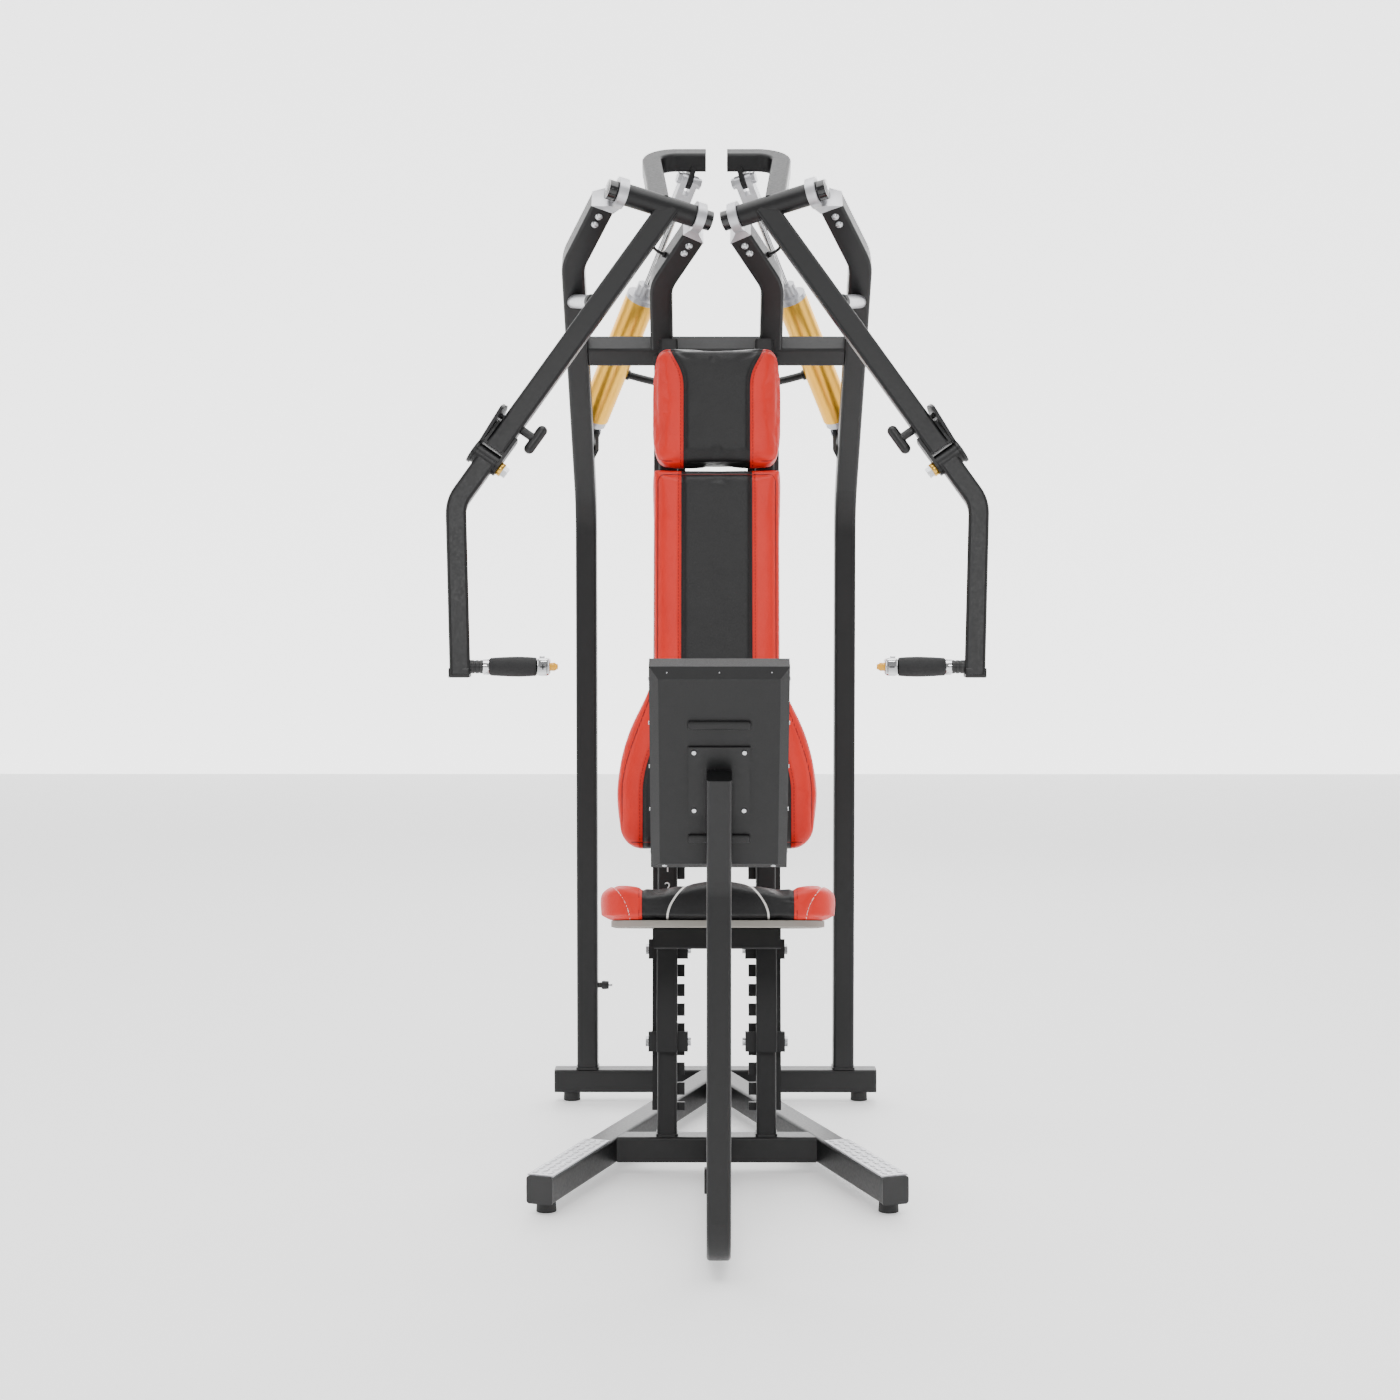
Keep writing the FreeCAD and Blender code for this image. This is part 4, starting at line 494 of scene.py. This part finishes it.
def dressPad(piece, nodeName, shape, vinyl, body):
    # shape(x, high, ahead, limits) gives the move along the front, the move up, and three distances
    up, front = padAxes["up"], padAxes["front"]
    solid = [vertex.co for vertex in nodes[nodeName].data.vertices]
    limits = {"low": min(v.dot(up) for v in solid), "high": max(v.dot(up) for v in solid),
              "rear": min(v.dot(front) for v in solid), "front": max(v.dot(front) for v in solid),
              "half": max(abs(v.x) for v in solid)}
    columns = {"redSide": [], "pipeAway": [], "seamRun": []}
    own = [vertex.co for vertex in piece.data.vertices]
    spans = {"half": (0, max(v.x for v in own)),
             "up": (min(v.dot(up) for v in own), max(v.dot(up) for v in own)),
             "front": (min(v.dot(front) for v in own), max(v.dot(front) for v in own))}
    for vertex in piece.data.vertices:
        x = vertex.co.x * limits["half"] / spans["half"][1]
        high = refit(vertex.co.dot(up), spans["up"], limits["low"], limits["high"])
        ahead = refit(vertex.co.dot(front), spans["front"], limits["rear"], limits["front"])
        forward, rise, redSide, pipeAway, seamRun = shape(x, high, ahead, limits)
        ripple = 0.5 * mm * noise.noise(vertex.co / (38 * mm))
        vertex.co = (Vector((x, 0, 0)) + up * (high + rise) + front * (ahead + forward + ripple))
        for key, value in zip(columns, (redSide, pipeAway, seamRun)):
            columns[key].append(value)
    for key, values in columns.items():
        piece.data.attributes.new(key, "FLOAT", "POINT").data.foreach_set("value", values)
    activate(piece)
    bpy.ops.object.shade_smooth()
    finishPiece(piece, body, "pad_vinyl", vinyl, replaces=(nodeName,))


backLook = {
    "swell": {"voxel": 6.0, "shrink": 2.5, "pressure": 4.0, "cap": 6.0},
    "seamTop": 68, "seamHip": 141, "edgeTop": 125, "edgeHip": 192, "flareFrom": 369, "flareTo": 106,
    "corner": 26, "faceDeep": 30, "faceOver": 22, "groove": 5.0, "grooveWide": 5.0, "pipeIn": 11,
    "pipeWide": 3.5, "pipeDeep": 2.2, "lumbarAt": 300, "lumbarTall": 14, "lumbarIn": 30, "lumbarDeep": 4,
    "belly": 6, "bellyAt": 210, "bellyTall": 170,
}


def backShape(x, high, ahead, limits):
    look = backLook
    fromLow = (high - limits["low"]) / mm
    flare = smoothStep((look["flareFrom"] - fromLow) / (look["flareFrom"] - look["flareTo"]))
    seam = (look["seamTop"] + (look["seamHip"] - look["seamTop"]) * flare) * mm
    edge = (look["edgeTop"] + (look["edgeHip"] - look["edgeTop"]) * flare) * mm
    facing = smoothStep((ahead - limits["front"] + look["faceDeep"] * mm) / (look["faceOver"] * mm))
    redSide = abs(x) - seam
    groove = math.exp(-(redSide / (look["grooveWide"] * mm)) ** 2)
    middle = (limits["low"] + limits["high"]) / 2
    halfTall = (limits["high"] - limits["low"]) / 2
    outline = roundedAway(x, high - middle, edge, halfTall, look["corner"] * mm)
    pipeAway = abs(outline + look["pipeIn"] * mm) + (1 - facing) * 0.02
    pipeGroove = math.exp(-(pipeAway / (look["pipeWide"] * mm)) ** 2)
    lumbar = math.exp(-((fromLow - look["lumbarAt"]) / look["lumbarTall"]) ** 2)
    lumbar *= smoothStep((seam - abs(x)) / (look["lumbarIn"] * mm))
    crown = look["belly"] * mm * (1 - (x / edge) ** 2)
    crown *= math.exp(-((fromLow - look["bellyAt"]) / look["bellyTall"]) ** 2)
    sunk = look["groove"] * groove + look["pipeDeep"] * pipeGroove + look["lumbarDeep"] * lumbar
    forward = facing * (crown - sunk * mm)
    return forward, 0, redSide, pipeAway, high - limits["low"]


headLook = {
    "swell": {"voxel": 5.0, "shrink": 2.5, "pressure": 4.0, "cap": 6.0},
    "seamLow": 64, "seamTop": 90, "widenOver": 95, "corner": 28, "faceDeep": 30, "faceOver": 22,
    "groove": 4.5, "grooveWide": 4.5, "pipeIn": 9, "pipeWide": 3.5, "pipeDeep": 2, "crown": 5,
}


def headShape(x, high, ahead, limits):
    look = headLook
    rise = smoothStep((high - limits["high"] + look["widenOver"] * mm) / (look["widenOver"] * mm))
    seam = (look["seamLow"] + (look["seamTop"] - look["seamLow"]) * rise * rise) * mm
    facing = smoothStep((ahead - limits["front"] + look["faceDeep"] * mm) / (look["faceOver"] * mm))
    redSide = abs(x) - seam
    groove = math.exp(-(redSide / (look["grooveWide"] * mm)) ** 2)
    middle = (limits["low"] + limits["high"]) / 2
    halfTall = (limits["high"] - limits["low"]) / 2
    outline = roundedAway(x, high - middle, limits["half"], halfTall, look["corner"] * mm)
    pipeAway = abs(outline + look["pipeIn"] * mm) + (1 - facing) * 0.02
    pipeGroove = math.exp(-(pipeAway / (look["pipeWide"] * mm)) ** 2)
    crown = look["crown"] * mm * (1 - (x / limits["half"]) ** 2)
    forward = facing * (crown - look["groove"] * mm * groove - look["pipeDeep"] * mm * pipeGroove)
    return forward, 0, redSide, pipeAway, high - limits["low"]


seatLook = {
    "swell": {"voxel": 5.0, "shrink": 2.5, "pressure": 4.0, "cap": 7.0},
    "topFrom": 22, "topOver": 26, "faceFrom": 26, "faceOver": 20, "seam": 131, "groove": 3.5,
    "grooveWide": 4.5, "pommelWide": 58, "pommelHigh": 13, "pommelDeep": 150, "lobeAt": 165,
    "lobeWide": 34, "lobeHigh": 4, "dipAt": 112, "dipWide": 30, "dipDeep": 4, "hollowWide": 90,
    "hollowDeep": 5, "hollowFrom": 140, "hollowOver": 80, "panelWide": 88, "panelHigh": 74,
    "panelDeep": 62, "lobeSeam": 153, "lobeSeamOut": 33, "lobeSeamHigh": 60, "lobeFrom": 140,
    "lobeDeep": 250, "pipeWide": 3.5, "pipeDeep": 2.2, "farAway": 40,
}


def seatShape(x, high, ahead, limits):
    look = seatLook
    fromFront = (limits["front"] - ahead) / mm
    fromLow = (high - limits["low"]) / mm
    topping = smoothStep((fromLow - look["topFrom"]) / look["topOver"])
    redSide = abs(x) - look["seam"] * mm
    wide = abs(x) / mm
    pommel = look["pommelHigh"] * math.exp(-(wide / look["pommelWide"]) ** 2)
    pommel *= smoothStep((look["pommelDeep"] - fromFront) / look["pommelDeep"])
    lobe = look["lobeHigh"] * math.exp(-((wide - look["lobeAt"]) / look["lobeWide"]) ** 2)
    dip = -look["dipDeep"] * math.exp(-((wide - look["dipAt"]) / look["dipWide"]) ** 2)
    hollow = -look["hollowDeep"] * math.exp(-(wide / look["hollowWide"]) ** 2)
    hollow *= smoothStep((fromFront - look["hollowFrom"]) / look["hollowOver"])
    panel = math.hypot(wide / look["panelWide"], fromLow / look["panelHigh"]) - 1
    panelAway = abs(panel) * look["panelDeep"] if fromFront < look["panelDeep"] else look["farAway"]
    lobeEdge = look["lobeSeam"] + look["lobeSeamOut"] * (max(0, fromLow) / look["lobeSeamHigh"]) ** 2
    onLobe = wide > look["lobeFrom"] and fromFront < look["lobeDeep"]
    lobeAway = abs(wide - lobeEdge) if onLobe else look["farAway"]
    pipeAway = min(panelAway, lobeAway + 0.6)
    groove = math.exp(-(redSide / (look["grooveWide"] * mm)) ** 2) * look["groove"]
    groove += look["pipeDeep"] * math.exp(-(pipeAway / look["pipeWide"]) ** 2)
    facing = smoothStep((look["faceFrom"] - fromFront) / look["faceOver"])
    rise = mm * topping * (pommel + lobe + dip + hollow - groove)
    return -mm * facing * groove * (1 - topping), rise, redSide, pipeAway * mm, ahead - limits["rear"]


backPad = swell("backUpholstery", "back_pad", **backLook["swell"])
dressPad(backPad, "back_pad", backShape, padVinyl, "frame")
headPad = swell("headUpholstery", "head_pad", **headLook["swell"])
dressPad(headPad, "head_pad", headShape, padVinyl, "frame")
seatPad = swell("seatUpholstery", "seat_cushion", **seatLook["swell"])
dressPad(seatPad, "seat_cushion", seatShape, seatVinyl, "seat_carriage")
print("upholstery made")


def jointLine(name):
    return Vector(joints[name]["axis"]).normalized()


def pivotCentre(sideName):
    low, high = [Vector(corner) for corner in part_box("pivot_shaft_" + sideName)]
    return (low + high) / 2


def mirror(values, side):  # places are written for the left side, at negative X
    return Vector((-side * values[0], values[1], values[2]))


# profiles are (radius, height) in mm along the grip, and boxes are width, depth and length
handleLook = {
    "grip": ((12.5, 0), (15.2, 0.4), (16.4, 2.5), (17.4, 18), (18.4, 42), (18.6, 52), (18.0, 70),
             (17.2, 82), (16.4, 85.4), (12.5, 86)),
    "stub": ((0, 0), (12.5, 0), (12.5, 7), (11.6, 8), (11.6, 10), (12.5, 11), (12.5, 15), (11.6, 16),
             (11.6, 18), (12.5, 19), (12.5, 24), (0, 24)),
    "collar": ((0, 0), (14, 0), (15, 1), (15, 10.6), (14, 12), (0, 12)),
    "spine": ((0, 0), (12.3, 0), (12.3, 86), (0, 86)),
    "housing": (33, 34, 25), "button": (15, 15, 19), "buttonCap": (10.5, 10.5, 5), "nub": (10, 7, 5),
    "half": 43, "stubOut": 36, "collarOut": 12, "gripLong": 86, "nubAt": 96, "nubHigh": 17.2,
    "signAt": 98.5, "signAhead": 16.8, "signLong": 10, "signWide": 2.6, "signThick": 0.6,
    "buttonAt": 122, "capAt": 122.6, "foot": (38.6, 38.6, 18), "footAway": 55, "footHigh": 8.6,
}


def makeHandle(sideName, side):
    look = handleLook
    low, high = [Vector(corner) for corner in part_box("handle_grip_" + sideName)]
    centre = (low + high) / 2
    toward = Vector((-side, 0, 0))
    start = centre - toward * look["half"] * mm
    grip = settle(newTurned("grip_" + sideName, look["grip"], 64), start, toward, (0, 0, 1))
    finishPiece(grip, "lower_arm_" + sideName, "grip_rubber", "gripRubber",
                replaces=("handle_grip_" + sideName,))
    stub = settle(newTurned("gripStub_" + sideName, look["stub"], 40),
                  start - toward * look["stubOut"] * mm, toward)
    finishPiece(stub, "lower_arm_" + sideName, "cap_plastic", "blackPlastic")
    collar = settle(newTurned("gripCollar", look["collar"], 48),
                    start - toward * look["collarOut"] * mm, toward)
    spine = settle(newTurned("gripSpine", look["spine"], 32), start, toward)
    housing = newBox("gripHousing", look["housing"], 7, 5)
    settle(housing, start + toward * (look["gripLong"] + look["housing"][2] / 2) * mm, toward, (0, 0, 1))
    nub = newBox("gripNub", look["nub"], 1.6, 3)
    settle(nub, start + toward * look["nubAt"] * mm + Vector((0, 0, look["nubHigh"] * mm)))
    core = joinAll("gripCore_" + sideName, [collar, spine, housing, nub])
    finishPiece(core, "lower_arm_" + sideName, "handle_chrome", "chromePlate",
                replaces=("handle_core_" + sideName,))
    marks = [newBox("bar", (look["signLong"], look["signThick"], look["signWide"]), 0.25, 2)]
    if side < 0:  # the left handle's sign is a plus, the right one's a minus
        marks.append(newBox("post", (look["signWide"], look["signThick"], look["signLong"]), 0.25, 2))
    sign = joinAll("gripSign_" + sideName, marks)
    settle(sign, start + toward * look["signAt"] * mm + Vector((0, -look["signAhead"] * mm, 0)))
    finishPiece(sign, "lower_arm_" + sideName, "knob_black", "blackInk")
    button = newBox("button_" + sideName, look["button"], 3.6, 4)
    settle(button, start + toward * (look["buttonAt"] - look["button"][2] / 2) * mm, toward, (0, 0, 1))
    finishPiece(button, "thumb_button_" + sideName, "button_yellow", "yellowPlastic",
                replaces=("thumb_button_" + sideName,))
    step = newBox("buttonCap", look["buttonCap"], 1.8, 3)
    settle(step, start + toward * look["capAt"] * mm, toward, (0, 0, 1))
    finishPiece(step, "thumb_button_" + sideName, "button_yellow", "yellowPlastic")
    foot = newBox("armFoot_" + sideName, look["foot"], 2.2, 3)
    bottom = Vector(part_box("lower_arm_" + sideName)[0])
    settle(foot, (start.x - toward.x * look["footAway"] * mm, centre.y, bottom.z + look["footHigh"] * mm))
    finishPiece(foot, "lower_arm_" + sideName, "cap_plastic", "blackPlastic")


for sideName, side in sides:
    makeHandle(sideName, side)
print("handles made")


trimLook = {
    "hinge": (-427.0, -12.5, 1361.6),  # the left arm's hinge, in mm
    "pivotCap": ((0, 0), (19, 0), (19, 11), (17.6, 14.6), (14, 16.2), (6, 16.6), (5.4, 15.4), (0, 15.4)),
    "socket": ((0, 0), (4.6, 0), (4.6, 1.4), (3.6, 2), (0, 2)),
    "bush": ((0, 0), (12.6, 0), (13, 0.5), (13, 8.4), (12.4, 9.2), (0, 9.2)),
    "bushOut": 26, "capOut": 89.4, "socketOut": 15.2,
}


def makeArmTrim(sideName, side):
    inward = jointLine("handle_arm_tilt_" + sideName)
    inward = inward if inward.x * side < 0 else -inward
    face = mirror(trimLook["hinge"], side) * mm + inward * trimLook["bushOut"] * mm
    bush = settle(newTurned("hingeBush_" + sideName, trimLook["bush"], 40), face, inward)
    finishPiece(bush, "press_arm_" + sideName, "gold_aluminium", "brassBush")
    axis = jointLine("press_" + sideName)
    for sign in (-1, 1):
        outward = axis * sign
        near = pivotCentre(sideName) + outward * trimLook["capOut"] * mm
        cap = settle(newTurned("pivotCap_%s_%d" % (sideName, sign), trimLook["pivotCap"], 48),
                     near, outward)
        finishPiece(cap, "press_arm_" + sideName, "pivot_black", "blackEnamel")
        screw = settle(newTurned("pivotScrew_%s_%d" % (sideName, sign), trimLook["socket"], 24),
                       near + outward * trimLook["socketOut"] * mm, outward)
        finishPiece(screw, "press_arm_" + sideName, "zinc_steel", "zincPlate")


for sideName, side in sides:
    makeArmTrim(sideName, side)
print("arm trim made")


displayLook = {
    "lean": math.radians(22), "height": 358, "rib": (100, 15, 9), "ribs": (94, 296), "ribProud": 1.2,
    "topScrews": (-82, 0, 82), "lowScrews": (-88, 88), "screwDown": 8, "topSunk": 8.6, "lowSunk": 7.6,
    "topHead": ((0, 0), (3, 0), (2.8, 0.8), (0, 1.4)),
    "lowHead": ((0, 0), (4.4, 0), (4.2, 1.2), (3, 2.2), (1.2, 2.6), (0, 2.6)),
    "keys": 4, "key": (26, 12, 2), "keyPitch": 38, "keysDown": 300,
    "readout": (120, 70, 1.2), "readoutDown": 150,
}
lean = displayLook["lean"]
panelUp = Vector((0, -math.sin(lean), math.cos(lean)))
panelBack = Vector((0, -math.cos(lean), -math.sin(lean)))
coverPoints = [vertex.co for vertex in nodes["display_cover"].data.vertices]
backMost = max(point.dot(panelBack) for point in coverPoints)
upMost = max(point.dot(panelUp) for point in coverPoints)


def onPanel(x, fromTop, proud):  # a place on the cover's back, in mm from its top edge
    return Vector((x * mm, 0, 0)) + panelUp * (upMost - fromTop * mm) + panelBack * (backMost + proud * mm)


for index, fromTop in enumerate(displayLook["ribs"]):
    rib = newBox("displayRib_%d" % index, displayLook["rib"], 4.2, 5)
    settle(rib, onPanel(0, fromTop, displayLook["ribProud"]), panelBack, (1, 0, 0))
    finishPiece(rib, "frame", "display_plastic", "sparkPlastic")
edgeScrews = []
for x in displayLook["topScrews"]:
    place = onPanel(x, displayLook["screwDown"], -displayLook["topSunk"])
    edgeScrews.append(settle(newTurned("screw", displayLook["topHead"], 20), place, panelUp + panelBack))
for x in displayLook["lowScrews"]:
    place = onPanel(x, displayLook["height"] - displayLook["screwDown"], -displayLook["lowSunk"])
    edgeScrews.append(settle(newTurned("screw", displayLook["lowHead"], 24), place, panelBack - panelUp))
finishPiece(joinAll("displayScrews", edgeScrews), "frame", "zinc_steel", "zincPlate")
lensPoints = [vertex.co for vertex in nodes["display_lens"].data.vertices]
frontMost = max(point.dot(-panelBack) for point in lensPoints)
keys = []
for index in range(displayLook["keys"]):
    key = newBox("key", displayLook["key"], 1.6, 3)
    x = (index - (displayLook["keys"] - 1) / 2) * displayLook["keyPitch"] * mm
    place = Vector((x, 0, 0)) + panelUp * (upMost - displayLook["keysDown"] * mm) - panelBack * frontMost
    keys.append(settle(key, place, -panelBack, (1, 0, 0)))
finishPiece(joinAll("displayKeys", keys), "frame", "cap_plastic", "yellowPlastic")
readout = newBox("displayReadout", displayLook["readout"], 0.5, 2)
place = panelUp * (upMost - displayLook["readoutDown"] * mm) - panelBack * frontMost
settle(readout, place, -panelBack, (1, 0, 0))
finishPiece(readout, "frame", "display_screen", "darkAcrylic")
print("display made")


treadLook = {"run": (-320, -917, 0), "rows": 19, "columns": 3, "rowPitch": 14, "columnPitch": 15,
             "base": (6.6, 2.4), "crest": (3.6, 0.8), "sunk": 0.1, "high": 1.3}


def makeTreads():
    look = treadLook
    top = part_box("tread_plates")[1][2]
    points = [vertex.co for vertex in nodes["tread_plates"].data.vertices if vertex.co.x < 0]
    centre = sum((Vector((p.x, p.y, 0)) for p in points), Vector()) / len(points)
    run = Vector(look["run"]).normalized()  # along the left leg
    across = Vector((-run.y, run.x, 0))
    for sideName, side in sides:
        verts, faces = [], []
        for row in range(-(look["rows"] // 2), look["rows"] // 2 + 1):
            for column in range(-(look["columns"] // 2), look["columns"] // 2 + 1):
                turn = math.radians(45 if (row + column) % 2 else -45)
                spot = centre + run * row * look["rowPitch"] * mm
                spot += across * column * look["columnPitch"] * mm
                long = run * math.cos(turn) + across * math.sin(turn)
                short = across * math.cos(turn) - run * math.sin(turn)
                base = len(verts)
                for (far, near), high in ((look["base"], -look["sunk"]), (look["crest"], look["high"])):
                    ring = [spot + long * far * mm, spot + short * near * mm, spot - long * far * mm,
                            spot - short * near * mm]
                    verts += [Vector((p.x * -side, p.y, top + high * mm)) for p in ring]
                faces += [(base + i, base + (i + 1) % 4, base + 4 + (i + 1) % 4, base + 4 + i)
                          for i in range(4)]
                faces += [(base + 4, base + 5, base + 6, base + 7), (base + 3, base + 2, base + 1, base)]
        mesh = bpy.data.meshes.new("lozenges")
        mesh.from_pydata(verts, [], faces)
        lozenges = bpy.data.objects.new("lozenges_" + sideName, mesh)
        bpy.context.scene.collection.objects.link(lozenges)
        activate(lozenges)
        bpy.ops.object.mode_set(mode="EDIT")
        bpy.ops.mesh.select_all(action="SELECT")
        bpy.ops.mesh.normals_make_consistent(inside=False)
        bpy.ops.object.mode_set(mode="OBJECT")
        finishPiece(lozenges, "frame", "tread_steel", "treadSheet")


fittingLook = {
    "knob": ((0, 0), (6, 0), (6, 8), (9, 9), (9.6, 12), (9, 22), (7.5, 24), (0, 24)),
    "knobAt": (-0.2572, 0.6955, 0.253),
    "tip": ((0, 0), (3, 0), (3, 7), (2.2, 8), (0, 8)), "tipAt": (-0.2334, 0.6955, 0.253),
    "clip": (4, 20, 40), "clipAt": (-0.0218, -0.6105, 0.167),
}
makeTreads()
fittingKnob = settle(newTurned("airKnob", fittingLook["knob"], 32), fittingLook["knobAt"], (1, 0, 0))
finishPiece(fittingKnob, "frame", "knob_black", "blackPlastic")
fittingTip = settle(newTurned("airTip", fittingLook["tip"], 24), fittingLook["tipAt"], (1, 0, 0))
finishPiece(fittingTip, "frame", "zinc_steel", "zincPlate")
clip = settle(newBox("postClip", fittingLook["clip"], 1.2, 3), fittingLook["clipAt"])
finishPiece(clip, "frame", "frame_paint", "powderCoat")
print("base trim made")


numberLook = {"size": 26, "depth": 0.35, "first": 513, "pitch": 38, "count": 6, "base": (0, 93.5, 70),
              "proud": 19.1, "aside": -95.6}


def makeNumbers():  # seat heights printed on the left guide tube, with 1 at the top
    look = numberLook
    up, front = padAxes["up"], padAxes["front"]
    base = Vector(look["base"]) * mm
    texts = []
    for index in range(look["count"]):
        data = bpy.data.curves.new("seatNumber", "FONT")
        data.body = str(index + 1)
        data.size, data.extrude = look["size"] * mm, look["depth"] * mm
        data.align_x, data.align_y = "CENTER", "CENTER"
        label = bpy.data.objects.new("seatNumber", data)
        bpy.context.scene.collection.objects.link(label)
        place = base + up * (look["first"] - look["pitch"] * index) * mm + front * look["proud"] * mm
        place.x = look["aside"] * mm
        activate(label)
        bpy.ops.object.convert(target="MESH")
        texts.append(settle(label, place, front, (1, 0, 0)))
    finishPiece(joinAll("seatNumbers", texts), "frame", "button_yellow", "whiteInk")


makeNumbers()
print("numbers made")


def makeGlow(name, tone, strength):  # white paper, lit through from behind
    made, tree = newMaterial(name)
    place = addNode(tree, "ShaderNodeTexCoord").outputs["Object"]
    cloud = addNode(tree, "ShaderNodeTexNoise", {"Vector": place, "Scale": 0.4})
    rough = addNode(tree, "ShaderNodeMapRange", {0: cloud.outputs[0], 3: 0.55, 4: 0.65})
    shader = addNode(tree, "ShaderNodeBsdfPrincipled", {
        "Base Color": hexColour(tone), "Roughness": rough.outputs[0],
        "Emission Color": hexColour("#FFFFFF"), "Emission Strength": strength})
    addNode(tree, "ShaderNodeOutputMaterial", {"Surface": shader.outputs[0]})
    return made


bpy.ops.object.select_all(action="DESELECT")
bpy.ops.mesh.primitive_plane_add(size=studio["floorSize"], location=(0, 0, -0.5 * mm))
floor = bpy.context.object
floor.name = "studioFloor"
bpy.ops.object.transform_apply(location=True, rotation=True, scale=True)
give(floor, makeGlow("studioFloor", studio["floorTone"], studio["floorGlow"]))
bpy.ops.object.select_all(action="DESELECT")
bpy.ops.mesh.primitive_plane_add(size=studio["wallSize"], rotation=(math.pi / 2, 0, 0),
                                 location=(0, studio["wallAway"], studio["wallHigh"]))
wall = bpy.context.object
wall.name = "studioWall"
bpy.ops.object.transform_apply(location=True, rotation=True, scale=True)
give(wall, makeGlow("studioWall", studio["wallTone"], studio["wallGlow"]))
